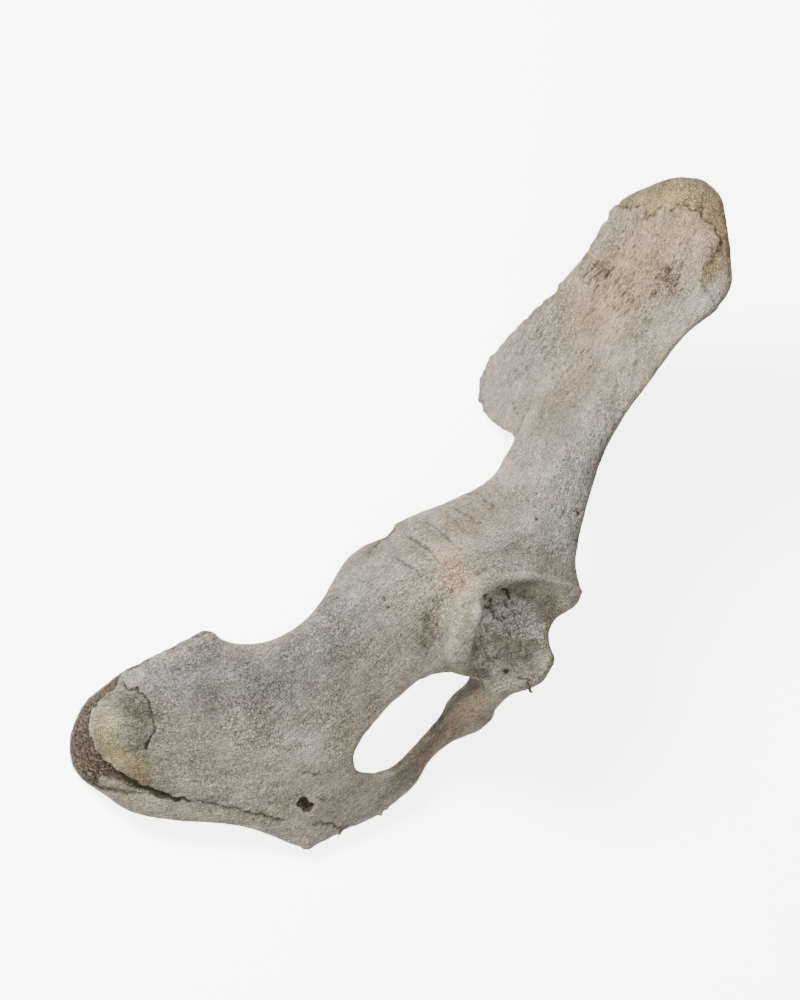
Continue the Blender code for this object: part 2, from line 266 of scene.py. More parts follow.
def run_distance(seen: np.ndarray, places: np.ndarray,
                 closed: bool) -> tuple[np.ndarray, np.ndarray]:
    """Measure how far places are from a run of places.

    Args:
        seen: places in mm, one a row.
        places: the corners of the run in mm.
        closed: whether the run returns to its start.

    Returns:
        The distance in mm, and how far along the run the nearest point is.
    """
    ends = np.roll(places, -1, axis=0) if closed else places[1:]
    starts = places if closed else places[:-1]
    if len(places) == 1:
        return np.linalg.norm(seen - places[0], axis=1), np.full(len(seen), 0.5)
    best = np.full(len(seen), np.inf)
    along = np.zeros(len(seen))
    for index, (start, end) in enumerate(zip(starts, ends)):
        run = end - start
        part = np.clip((seen - start) @ run / (run @ run), 0.0, 1.0)
        gap = np.linalg.norm(seen - start - part[:, None] * run, axis=1)
        along = np.where(gap < best, (index + part) / len(starts), along)
        best = np.minimum(best, gap)
    return best, along


def inside_loop(seen: np.ndarray, places: np.ndarray) -> np.ndarray:
    """Tell which places lie inside a loop of places.

    Args:
        seen: places in mm, one a row.
        places: the corners of the loop in mm.

    Returns:
        True for each place inside.
    """
    inside = np.zeros(len(seen), dtype=bool)
    for start, end in zip(places, np.roll(places, -1, axis=0)):
        crosses = (start[1] > seen[:, 1]) != (end[1] > seen[:, 1])
        slope = (end[0] - start[0]) / (end[1] - start[1]) if end[1] != start[1] else 0.0
        inside ^= crosses & (seen[:, 0] < start[0] + (seen[:, 1] - start[1]) * slope)
    return inside


@dataclass(frozen=True)
class Relief:
    """Noise relief: height and knot distance in mm, layers and pattern."""

    height: float
    knots: float
    layers: int
    seed: int

    def at(self, points: np.ndarray) -> np.ndarray:
        """Height of the relief at points given in mm."""
        return layered_noise(points, self.knots, self.layers, self.seed) * self.height


class Skin:
    """A fine mesh of the bone, with its positions and masks as arrays."""

    FADE = 3.0                  # a line has faded out this many widths away
    WANDER = 2.0                # mm that a mark wanders for each unit of raggedness
    MARGIN = 1.0                # mm looked at past a mark's own reach
    TIP = 0.02                  # share of its length that a tapered line keeps blunt
    TURN, GLANCE = 3.0, 0.3     # how marks fade where the skin turns to the other side
    WARPS = (Relief(1.0, 4.0, 3, 11), Relief(1.0, 4.0, 3, 23))

    def __init__(self, thing: bpy.types.Object, view: PictureView) -> None:
        """Read the mesh and start empty masks.

        Args:
            thing: the object whose mesh is shaped.
            view: the view in which marks are placed.
        """
        self.thing = thing
        self.view = view
        count = len(thing.data.vertices)
        self.spots = np.empty(count * 3)
        thing.data.vertices.foreach_get("co", self.spots)
        self.spots = self.spots.reshape(-1, 3)
        pairs = np.empty(len(thing.data.edges) * 2, dtype=np.int64)
        thing.data.edges.foreach_get("vertices", pairs)
        self.pairs = pairs.reshape(-1, 2)
        self.degree = np.bincount(pairs, minlength=count)
        self.tones = {tone: np.zeros(count) for tone in Tone}
        self.refresh()
        self.warp = np.stack([warp.at(self.spots / MM) for warp in self.WARPS], axis=1)

    def refresh(self) -> None:
        """Write the positions to the mesh, and read normals and places again."""
        self.thing.data.vertices.foreach_set("co", self.spots.ravel())
        self.thing.data.update()
        normals = np.empty(len(self.spots) * 3)
        self.thing.data.vertices.foreach_get("normal", normals)
        self.normals = normals.reshape(-1, 3)
        self.seen, self.depth = self.view.seen(self.spots)
        self.facing = self.normals @ self.view.basis()[2]

    def evened(self, values: np.ndarray, rounds: int) -> np.ndarray:
        """Average values over neighbours a number of times.

        Args:
            values: one row for each vertex.
            rounds: how often to average.

        Returns:
            The averaged values.
        """
        first, second = self.pairs[:, 0], self.pairs[:, 1]
        rows = values.reshape(len(values), -1)
        for _ in range(rounds):
            sums = [np.bincount(first, row[second], len(rows))
                    + np.bincount(second, row[first], len(rows)) for row in rows.T]
            rows = (rows + np.stack(sums, axis=1) / self.degree[:, None]) / 2.0
        return rows.reshape(values.shape)

    def proud(self, rounds: int) -> np.ndarray:
        """How far each vertex stands out of the averaged skin in mm."""
        stand = self.spots - self.evened(self.spots, rounds)
        return (stand * self.normals).sum(axis=1) / MM

    def weight(self, mark: Mark) -> tuple[np.ndarray, np.ndarray]:
        """Find the vertices that a mark reaches.

        Args:
            mark: the mark.

        Returns:
            Their numbers, and how strongly the mark acts on each.
        """
        places = np.array(mark.places, dtype=float)
        reach = self.FADE * mark.width + self.WANDER * mark.ragged + self.MARGIN
        near = ((self.seen > places.min(axis=0) - reach)
                & (self.seen < places.max(axis=0) + reach)).all(axis=1)
        chosen = np.nonzero(near)[0]
        seen = self.seen[chosen] + self.warp[chosen] * mark.ragged * self.WANDER
        gap, along = run_distance(seen, places, mark.kind is Kind.AREA)
        if mark.kind is Kind.AREA:
            gap = np.where(inside_loop(seen, places), -gap, gap)
            share = smooth_step(0.5 - gap / mark.width)
        else:
            share = np.exp(-(gap / mark.width) ** 2)
        if mark.tapered:
            blunt = np.clip(along, self.TIP, 1.0 - self.TIP)
            share = share * np.sqrt(np.sin(math.pi * blunt))
        if mark.side is not Side.BOTH:
            facing = self.facing[chosen] * mark.side.value
            share = share * np.clip(facing * self.TURN + self.GLANCE, 0, 1)
        return chosen, share

    def apply(self, marks: tuple[Mark, ...]) -> None:
        """Shape the skin with marks and write their tones.

        Args:
            marks: the marks, in the order in which they are laid.
        """
        lift = np.zeros(len(self.spots))
        for mark in marks:
            chosen, share = self.weight(mark)
            lift[chosen] += share * mark.rise
            if mark.clears:
                for mask in self.tones.values():
                    mask[chosen] *= 1.0 - share
            if mark.tone:
                mask = self.tones[mark.tone]
                mask[chosen] = np.maximum(mask[chosen], share * mark.strength)
        self.roughen(lift)

    def roughen(self, lift: np.ndarray) -> None:
        """Move the skin along its normals by so many mm at each vertex."""
        self.spots += self.normals * (lift * MM)[:, None]
        self.refresh()

    def store(self, name: str, values: np.ndarray) -> None:
        """Keep values as an attribute that the finish can read.

        Args:
            name: the attribute's name.
            values: one number, or a row of three, for each vertex.
        """
        flat = values.ndim == 1
        layer = self.thing.data.attributes.new(
            name, "FLOAT" if flat else "FLOAT_VECTOR", "POINT")
        layer.data.foreach_set("value" if flat else "vector", values.ravel())


# Edges that more than one mark follows
HIP_POINT_EDGE = ((57, 234), (64.5, 230.5), (70, 234), (73, 225), (78, 232), (81, 234),
                  (86, 230), (91.5, 235), (97.5, 232), (102.5, 232.5), (104.5, 225),
                  (110, 221.5), (113, 216), (113.5, 212), (104.5, 199), (103.5, 188.5))
SITTING_EDGE = ((-216, -28), (-214, -32.5), (-208, -32), (-207.5, -35), (-202.5, -38),
                (-198.5, -49.5), (-199, -56), (-202, -65), (-208, -66.5))
BAND_EDGE = ((-218, -29), (-227, -36), (-233, -43.5), (-234.5, -52), (-231.5, -65),
             (-225.5, -71.5), (-219, -78), (-208, -83.5), (-197.5, -88.5), (-179, -94))
MUSCLE_LINES = ((-22, 79, -11, 67), (-35, 71, -17, 58), (-49, 63, -28, 43),
                (-60, 56, -40, 36), (-68, 45, -49, 28))     # left, top, right, low

STEP_MARKS = (
    Mark("worn cap of the hip point", HIP_POINT_EDGE + ((112, 178), (142, 190), (142, 262),
         (80, 276), (48, 250)), 1.0, -1.0, CREAM, 0.85, AREA, ragged=1.3),
    tint("brown of the cap", STAIN_AND_SHADE, 0.85, 9.0, 3.0, (56, 238), (66, 242), (82, 248),
         (98, 250)),
    tint("tan of the cap", STAIN_AND_SHADE, 0.3, 12.0, 4.0, (66, 237), (85, 240), (100, 238)),
    # painted shade: darkens the wing's middle and the body, which face the lamps, to stand in
    # for less light
    tint("painted shade of the wing's middle", STAIN_AND_SHADE, 0.12, 26.0, 6.0, (50, 160), (66, 182)),
    tint("painted shade of the body", STAIN_AND_SHADE, 0.14, 22.0, 6.0, (-62, 14), (-92, -2)),
    tint("grey by the spine's notch", STAIN_AND_SHADE, 0.14, 14.0, 5.0, (-157, -16), (-140, -24)),
    Mark("lip beside the hip point", ((121, 207), (110.5, 194.5), (103.5, 187), (98, 180),
         (112, 168), (138, 195)), 1.4, 0.7, BLUE, 0.5, AREA, clears=True),
    Mark("growth-plate face of the sitting end", SITTING_EDGE + ((-216, -72), (-222, -70),
         (-231, -58), (-228, -40), (-222, -32)), 2.0, -0.7, kind=AREA, ragged=1.0),
    tint("cream of the lobe", CREAM, 0.8, 8.0, 2.0, (-225, -50), (-224, -62), (-216, -72),
         (-206, -79)),
    tint("grey-brown beside the lobe", STAIN_AND_SHADE, 0.4, 5.5, 2.0, (-210, -42), (-204, -52),
         (-204, -62)),
    # painted shade on the top of the lobe, which slopes away from the light, over a real dip
    Mark("dip over the lobe", ((-224, -38), (-214, -38), (-206, -42), (-203, -50)), 4.0, -1.5,
         STAIN_AND_SHADE, 0.55, ragged=1.5),
    Mark("crown of the lobe", ((-221, -56), (-210, -62)), 8.0, 0.9),
    Mark("spongy band of the sitting end", BAND_EDGE + ((-189, -93.5), (-205, -91),
         (-223.5, -89.5), (-229, -87.5), (-242, -86), (-262, -70), (-262, -36), (-224, -12),
         (-213, -21)), 1.3, -1.0, SPONGY, 1.0, AREA, ragged=0.9, clears=True),
    Mark("grey of the wedge", ((-227, -84), (-213, -87.5), (-202, -90.5)), 2.0, 0.0, STAIN_AND_SHADE,
         0.6, ragged=1.6, clears=True),
    Mark("tongue of hard bone", ((-214, -22), (-215, -28), (-211, -31), (-206, -28)), 2.6, 1.2,
         ragged=0.6, clears=True),
)

SOCKET_MARKS = (
    Mark("inner ridge", ((-20, 13), (-21, 5), (-21, -5), (-19, -15)), 2.0, 2.2),
    Mark("trough inside the ridge", ((-14, 12), (-15.5, 4), (-15.5, -6), (-12, -15)), 2.6,
         -1.6, PALE, 0.8, ragged=1.4),
    Mark("upper fossa", ((-12, 17), (-4, 18)), 5.0, -1.8, STAIN_AND_SHADE, 0.35, ragged=1.5),
    Mark("fossa hole 1", ((-15, 18), (-13.5, 15)), 1.5, -2.0, DARK, 0.85, ragged=1.0),
    Mark("fossa hole 2", ((-8, 22), (-4, 21.5), (-2.5, 18)), 1.1, -1.6, DARK, 0.85,
         ragged=1.0),
    Mark("fossa knot", ((-7.5, 17),), 2.6, 1.6, PINK, 0.5, ragged=1.0),
    Mark("crack below the knot", ((-14, 13), (-11, 8), (-7, 5)), 0.8, -0.7, DARK, 0.6,
         ragged=1.2),
    Mark("lower hollow", ((7.5, -15),), 7.0, -3.0, PALE, 0.15),
    # a real brown patch, and painted shade that darkens the lower hollow
    tint("brown of the lower hollow", STAIN_AND_SHADE, 0.8, 5.0, 1.5, (7, -13), (10, -18)),
    Mark("sill above the lower hollow", ((-8, -7), (2, -5), (13, -4)), 3.0, 1.5, ragged=1.5),
    Mark("pale facet of the rim", ((-36, 8), (-24, 12), (-21.5, -5), (-20.5, -14), (-30, -16)),
         3.0, 0.6, kind=AREA, ragged=0.8, clears=True),
    Mark("lower pit", ((-4.5, -22),), 1.5, -1.6, DARK, 0.85),
    Mark("lower fissure", ((2.5, -26), (6, -26), (9, -28)), 0.9, -0.9, DARK, 0.7),
    Mark("lip of the upper rim", ((-6, 29), (7.5, 30), (20.5, 28), (29, 25), (35.5, 21)), 1.8,
         1.4, PALE, 0.3),
    # painted light: lightens the shaded underside of the lip, over a real shallow dip
    Mark("underside of the lip", ((14, 23.5), (22, 20), (28, 16), (30, 13)), 4.0, -0.8, PALE,
         0.3, ragged=1.2),
    tint("cream of the underside", CREAM, 0.4, 3.5, 1.2, (20, 18), (27, 14)),
    Mark("crackled floor", ((-14, 17), (6, 21), (19, 8), (17, -6), (0, -8), (-14, -4)), 5.0,
         0.0, CRACKLE, 0.7, AREA),
    # painted light: lightens the socket's floor and the trough's foot and wall, to stand in
    # for light falling into the socket
    Mark("painted light on the floor", ((-16, 15), (-2, 19), (12, 14), (16, 3), (12, -5), (-14, -4)), 6.0, 0.0,
         PALE, 0.75, AREA, ragged=2.0),
    tint("painted light at the trough's foot", PALE, 0.6, 5.0, 1.5, (-19, -8), (-17.5, -15), (-10, -20)),
    tint("painted light on the trough's wall", PALE, 0.9, 4.5, 1.0, (-18, 10), (-18.5, -2), (-17, -13)),
    Mark("fissure 1", ((-6, 16), (-4, 11), (-5.5, 4), (-3, -4)), 0.5, -0.6, DARK, 0.5,
         ragged=1.8, tapered=True),
    Mark("fissure 2", ((1, 15), (-0.5, 9), (2.5, 2), (1, -5)), 0.45, -0.5, DARK, 0.35,
         ragged=1.8, tapered=True),
    Mark("fissure 3", ((-10, 9), (-4, 7), (2, 9), (8, 5)), 0.45, -0.4, DARK, 0.3, ragged=1.8,
         tapered=True),
    Mark("notch floor", ((-23, -23), (-15, -24), (-9, -28)), 3.0, -0.8, STAIN_AND_SHADE, 0.35),
    Mark("mottling over the rim", ((-4, 41), (12, 40), (24, 38)), 5.0, -0.4, STAIN_AND_SHADE, 0.35,
         ragged=2.5),
    Mark("step over the rim", ((-20, 32), (-13, 36), (-6, 37.5), (4, 37)), 1.8, -1.6, BLUE,
         0.8, ragged=1.2),
    Mark("shadow of the step", ((-18, 32.5), (-10, 35.5), (0, 36)), 0.8, -0.5, STAIN_AND_SHADE, 0.6,
         ragged=1.4),
)

SHAFT_MARKS = (
    Mark("pit of the shaft 1", ((12, 61),), 0.9, -1.0, DARK, 0.85),
    Mark("pit of the shaft 2", ((12.5, 75),), 0.6, -0.6, DARK, 0.7),
    Mark("rough pit at the edge", ((34, 66), (35.5, 64)), 1.3, -0.9, STAIN_AND_SHADE, 0.9, ragged=1.2),
    *muscle_lines(),
    Mark("peak of the spine", ((-66, 59),), 3.0, 1.8, side=BOTH),
    Mark("brown of the peak", ((-67, 59.5), (-63, 61)), 1.3, -0.3, DARK, 0.6, ragged=1.0),
    Mark("notch of the spine", ((-79, 51.5),), 2.6, -1.8, STAIN_AND_SHADE, 0.5, side=BOTH),
    Mark("hairline at the spine", ((-77, 46), (-73, 50), (-66, 55)), 0.6, -0.5, DARK, 0.75),
    Mark("hairline below the spine", ((-78, 45), (-80, 42)), 0.5, -0.4, DARK, 0.5),
    tint("brown of the shaft", STAIN_AND_SHADE, 0.3, 6.0, 4.0, (-6, 72), (-4, 56)),
    tint("pink of the muscle ridges", PINK, 0.55, 9.0, 4.0, (-20, 66), (-34, 52), (-44, 42)),
    # painted shade in the chips of the ragged crest, over a real shallow groove
    Mark("ragged crest of the spine", ((-77, 51), (-71, 50.5), (-67, 57), (-62, 60)), 1.3,
         -0.6, DARK, 0.5, ragged=1.5),
    Mark("nutrient pit", ((-69.5, 12.5),), 0.8, -1.0, DARK, 0.95),
    Mark("mark over the pit", ((-72, 18.5), (-71, 16.5)), 0.7, -0.4, DARK, 0.5),
    tint("brown stain beside the socket", STAIN_AND_SHADE, 1.0, 5.5, 2.5, (-48, 8), (-47, 0), (-50, -6)),
    tint("heart of the stain", DARK, 0.38, 3.4, 2.0, (-48, 7), (-49, 2)),
    tint("pink beside the socket", PINK, 0.85, 12.0, 3.0, (-38, 42), (-31, 24)),
    tint("cool grey of the shaft", BLUE, 0.75, 17.0, 3.0, (30, 50), (34, 80), (45, 112)),
    tint("cool grey over the rim", BLUE, 0.35, 9.0, 2.0, (-6, 44), (12, 44)),
    # painted light: lightens the shaft's lower part, which the lamps leave shaded
    tint("painted light at the shaft's foot", PALE, 0.22, 9.0, 3.0, (29, 44), (31, 58), (33, 74)),
    # painted shade: darkens the lamp-facing side by the spine
    tint("painted shade of the spine side", STAIN_AND_SHADE, 0.16, 10.0, 4.0, (-62, 40), (-40, 58), (-24, 70)),
)

WING_MARKS = (
    tint("pink of the wing", PINK, 0.85, 27.0, 5.0, (102, 224), (78, 212), (58, 192),
         (44, 176)),
    tint("tan corner of the wing", PINK, 0.5, 6.0, 2.0, (-2, 108), (2, 114)),
    # darker along the wing's lower edge, with a shallow dip
    Mark("darker band along the wing's edge", ((113, 176), (97, 159), (82, 141), (68, 122)), 2.8, -0.3,
         STAIN_AND_SHADE, 0.6, ragged=3.0),
    tint("pink of the wing, lower", PINK, 0.5, 20.0, 5.0, (62, 176), (42, 152), (26, 130)),
    tint("brown of the lower wing", STAIN_AND_SHADE, 0.32, 16.0, 6.0, (48, 168), (34, 140), (24, 120)),
    tint("cool grey of the wing's corner", BLUE, 0.5, 11.0, 4.0, (0, 134), (12, 152),
         (26, 172)),
    tint("pale patch", BLUE, 0.9, 4.5, 1.0, (89, 212), (91, 205)),
    # painted shade along the crease, over a real shallow groove
    Mark("crease", ((-2, 103), (1.5, 110), (5, 118), (11, 129)), 0.9, -0.9, STAIN_AND_SHADE, 0.6,
         tapered=True),
    Mark("pore 1", ((0, 122),), 0.9, -0.8, DARK, 0.7),
    Mark("pore 2", ((1.5, 119.5),), 0.7, -0.6, DARK, 0.6),
    Mark("pore 3", ((-0.5, 124.5),), 0.7, -0.6, DARK, 0.6),
    tint("brown fleck 1", STAIN_AND_SHADE, 0.75, 3.2, 1.2, (85, 199)),
    tint("brown fleck 2", STAIN_AND_SHADE, 0.7, 2.6, 1.2, (86.5, 184), (84, 181)),
    tint("brown fleck 3", STAIN_AND_SHADE, 0.6, 2.8, 1.5, (41, 193.5), (47, 199)),
    tint("brown fleck 4", STAIN_AND_SHADE, 0.4, 2.6, 1.5, (30, 172), (36, 178)),
    tint("brown fleck 5", STAIN_AND_SHADE, 0.45, 2.4, 1.5, (62, 176), (66, 181)),
    tint("brown fleck 6", STAIN_AND_SHADE, 0.4, 3.0, 1.5, (4, 140), (10, 147)),
    tint("brown fleck 7", STAIN_AND_SHADE, 0.45, 2.6, 1.5, (70, 165), (66, 158)),
    Mark("brown streaks of the hip point", ((112, 212), (108, 200), (106, 190)), 3.6, -0.3,
         STAIN_AND_SHADE, 0.8, ragged=1.2),
    Mark("line under the ragged edge", HIP_POINT_EDGE[:14], 0.5, -0.4, DARK, 0.3, ragged=1.3),
)

PLATE_MARKS = (
    Mark("edge of hard bone at the sitting end", SITTING_EDGE[:8], 0.6, -0.9, DARK, 0.8,
         ragged=1.1),
    Mark("edge of hard bone, fading", SITTING_EDGE[6:] + ((-213, -63),), 0.6, -0.4, STAIN_AND_SHADE, 0.5,
         ragged=1.4),
    # a real red-brown streak, darkened further as painted shade where the lobe's top slopes
    # away from the light
    Mark("brown over the lobe", ((-225, -37), (-214, -39.5), (-204, -45)), 6.0, -0.5, STAIN_AND_SHADE,
         0.9, ragged=1.8),
    tint("brown between lobe and band", STAIN_AND_SHADE, 0.5, 2.6, 1.2, (-229, -45), (-230, -56),
         (-226, -66)),
    Mark("wedge groove", ((-226, -78), (-218, -83), (-206, -87.5), (-195, -91)), 1.6, -0.8,
         STAIN_AND_SHADE, 0.6, ragged=1.0),
    Mark("shadow under the upper edge", ((-221, -77), (-208, -84.8), (-197.5, -89.6),
         (-186, -93)), 0.7, -0.7, DARK, 0.6, ragged=0.8),
    Mark("crack past the groove", ((-186, -93), (-176, -94.2), (-166, -95), (-157, -97.5),
         (-147, -99.5)), 0.6, -0.5, DARK, 0.5, ragged=0.8),
    Mark("short crack of the lower edge", ((-147, -99.5), (-138, -102.5), (-126, -104.5)), 0.7,
         -0.6, DARK, 0.7, ragged=1.0),
    tint("brown under the crack", STAIN_AND_SHADE, 0.45, 3.0, 2.5, (-168, -96), (-150, -100),
         (-135, -106)),
    Mark("crack of the plate", ((-117, -78.5), (-111, -79.5), (-107, -79)), 0.7, -0.5, DARK,
         0.5, ragged=1.4),
    Mark("hole with earth", ((-120, -95.5), (-117.8, -92.4), (-113, -92.8), (-110.2, -96),
         (-112, -99.8), (-117, -99.4)), 1.0, -1.8, SPONGY, 1.0, AREA, ragged=0.9, clears=True),
    Mark("shadow in the hole", ((-119, -95.5), (-117, -93.4), (-114, -93.6)), 0.8, -0.6, DARK,
         0.55, ragged=0.7),
    Mark("dashed crack", ((-111, -91.5), (-107, -93), (-103, -92.5)), 0.7, -0.4, DARK, 0.45,
         ragged=0.9),
    Mark("rough line of the symphysis", ((-111, -106.5), (-102, -107), (-95, -109),
         (-89, -108.5)), 1.1, -0.7, DARK, 0.5, ragged=1.2),
    Mark("red-brown rim", ((-214, -22), (-199, -13.5), (-183, -5), (-172, 0)), 2.0, -0.6,
         STAIN_AND_SHADE, 0.9, ragged=1.2, side=BOTH),
    Mark("dark line of the rim", ((-212, -22), (-198, -12.5), (-184, -5), (-168, -1)), 0.9,
         -0.5, DARK, 0.6, ragged=1.6, side=BOTH),
    Mark("corner of the plate", ((-170, -1), (-166, -3)), 3.0, 1.3, side=BOTH),
    # painted shade: the dark tone on the wall of the opening; the wall's brown is the next
    # mark
    Mark("painted shade on the opening's wall", ((-23, -31), (-29, -37), (-34, -45), (-40, -53),
         (-46, -61), (-55, -70), (-64, -76)), 4.6, 0.0, DARK, 0.4, ragged=0.8, side=BOTH),
    Mark("brown of the wall", ((-26, -31), (-37.5, -45.5), (-48.5, -62), (-65.5, -76.5)), 5.0,
         0.0, STAIN_AND_SHADE, 0.9, ragged=0.8, side=BOTH),
    Mark("shadow in the wall", ((-24, -29), (-32, -38.5), (-38.5, -46), (-46, -57)), 2.2, -0.4,
         DARK, 0.5, side=BOTH),
    # painted shade: the pubic bar faces down, away from the light
    tint("painted shade of the pubic bar", STAIN_AND_SHADE, 0.2, 7.0, 2.5, (-22, -40), (-36, -56), (-50, -70),
         (-60, -80)),
    tint("pink of the pubic bar", PINK, 0.6, 8.0, 2.5, (-20, -38), (-34, -54), (-50, -70)),
    Mark("lip of the pubic bar", ((-73, -92), (-65, -88.5), (-57, -81.5)), 0.9, -0.5, STAIN_AND_SHADE,
         0.4, ragged=1.5),
    Mark("rough edge of the eminence", ((-19, -47), (-12, -52), (-10, -57)), 1.4, -0.7, STAIN_AND_SHADE,
         0.5, ragged=1.2),
    Mark("spur 1", ((-73.5, -101),), 1.2, 1.8, side=BOTH),
    Mark("spur 2", ((-70.5, -97.5),), 1.0, 1.4, side=BOTH),
    Mark("spur 3", ((-96, -112),), 1.4, 1.8, side=BOTH),
    tint("warm brown of the plate", STAIN_AND_SHADE, 0.12, 13.0, 5.0, (-190, -62), (-176, -78),
         (-150, -84)),
    # painted light: lightens the lower plate and the lower strip, which the lamps leave shaded
    tint("painted light on the lower plate", PALE, 0.16, 14.0, 5.0, (-180, -80), (-150, -78), (-120, -60)),
    tint("painted light on the lower strip", PALE, 0.2, 5.0, 2.5, (-200, -96), (-170, -101), (-130, -110),
         (-110, -112)),
    tint("cream of the lower strip", CREAM, 0.35, 4.0, 2.0, (-215, -92), (-180, -99),
         (-140, -106)),
    tint("cool grey of the plate", BLUE, 0.8, 20.0, 6.0, (-190, -24), (-130, -30), (-96, 10)),
    Mark("corner of the symphysis", ((-114, -118),), 3.5, 1.9, side=BOTH),
)

INNER_MARKS = tuple(replace(mark, side=INNER) for mark in (
    Mark("ear-shaped face", ((-12, 118), (6, 128), (14, 146), (0, 162), (-24, 146),
         (-26, 124)), 5.0, -0.5, STAIN_AND_SHADE, 0.4, AREA, ragged=3.0),
    Mark("vessel hole inside", ((-40, 28),), 1.8, -2.0, DARK, 0.9),
    Mark("vessel groove inside", ((-40, 28), (-52, 20), (-66, 14)), 1.6, -0.7, STAIN_AND_SHADE, 0.3,
         tapered=True),
    Mark("line of the inner brim", ((38, 120), (22, 80), (2, 20), (-20, -30)), 3.0, 1.0,
         ragged=1.5),
    Mark("inner pit 1", ((34, 92),), 1.0, -0.9, DARK, 0.8),
    Mark("inner pit 2", ((-120, -40),), 1.0, -0.9, DARK, 0.8),
    tint("inner stain", STAIN_AND_SHADE, 0.4, 16.0, 5.0, (-150, -60), (-120, -30)),
    tint("inner pink", PINK, 0.6, 24.0, 5.0, (60, 180), (30, 140)),
    tint("inner grey", BLUE, 0.5, 22.0, 5.0, (0, 60), (-60, 10)),
    Mark("inner cap of the hip point", ((60, 234), (86, 247), (106, 244), (118, 225)), 8.0,
         -0.6, CREAM, 0.8, ragged=1.5),
    Mark("inner face of the sitting end", ((-216, -26), (-238, -45), (-245, -64), (-236, -82)),
         7.0, -0.6, SPONGY, 0.9, ragged=1.5),
    Mark("symphysis face", ((-115, -120), (-94.5, -110), (-74, -100), (-55.5, -86)), 5.0, -0.4,
         SPONGY, 0.8, ragged=1.2),
))


@dataclass(frozen=True)
class FleckField:
    """Small dirt flecks scattered round a place, in millimetres."""

    place: tuple[float, float]
    reach: tuple[float, float]
    count: int
    strength: float
    width: float = 0.8


FLECKS = (
    FleckField((60, 190), (26, 26), 150, 0.8),
    FleckField((84, 192), (7, 10), 60, 0.9, 1.1),
    FleckField((44, 196), (7, 7), 50, 0.9, 1.0),
    FleckField((14, 152), (16, 18), 70, 0.7),
    FleckField((46, 140), (16, 20), 90, 0.6),
    FleckField((28, 84), (14, 30), 20, 0.4),
    FleckField((8, 44), (18, 6), 22, 0.55),
    FleckField((30, 62), (8, 8), 12, 0.6, 1.0),
    FleckField((-48, 3), (6, 10), 40, 0.85, 0.9),
    FleckField((0, 6), (14, 12), 34, 0.35, 0.6),
    FleckField((-30, 10), (8, 16), 14, 0.4),
    FleckField((-140, -50), (50, 36), 60, 0.32, 1.4),
    FleckField((-205, -50), (12, 16), 20, 0.45),
    FleckField((-130, -104), (40, 6), 20, 0.5),
)


def as_places(*spots: np.ndarray) -> tuple[tuple[float, float], ...]:
    """Turn arrays into the places of a mark."""
    return tuple((float(spot[0]), float(spot[1])) for spot in spots)


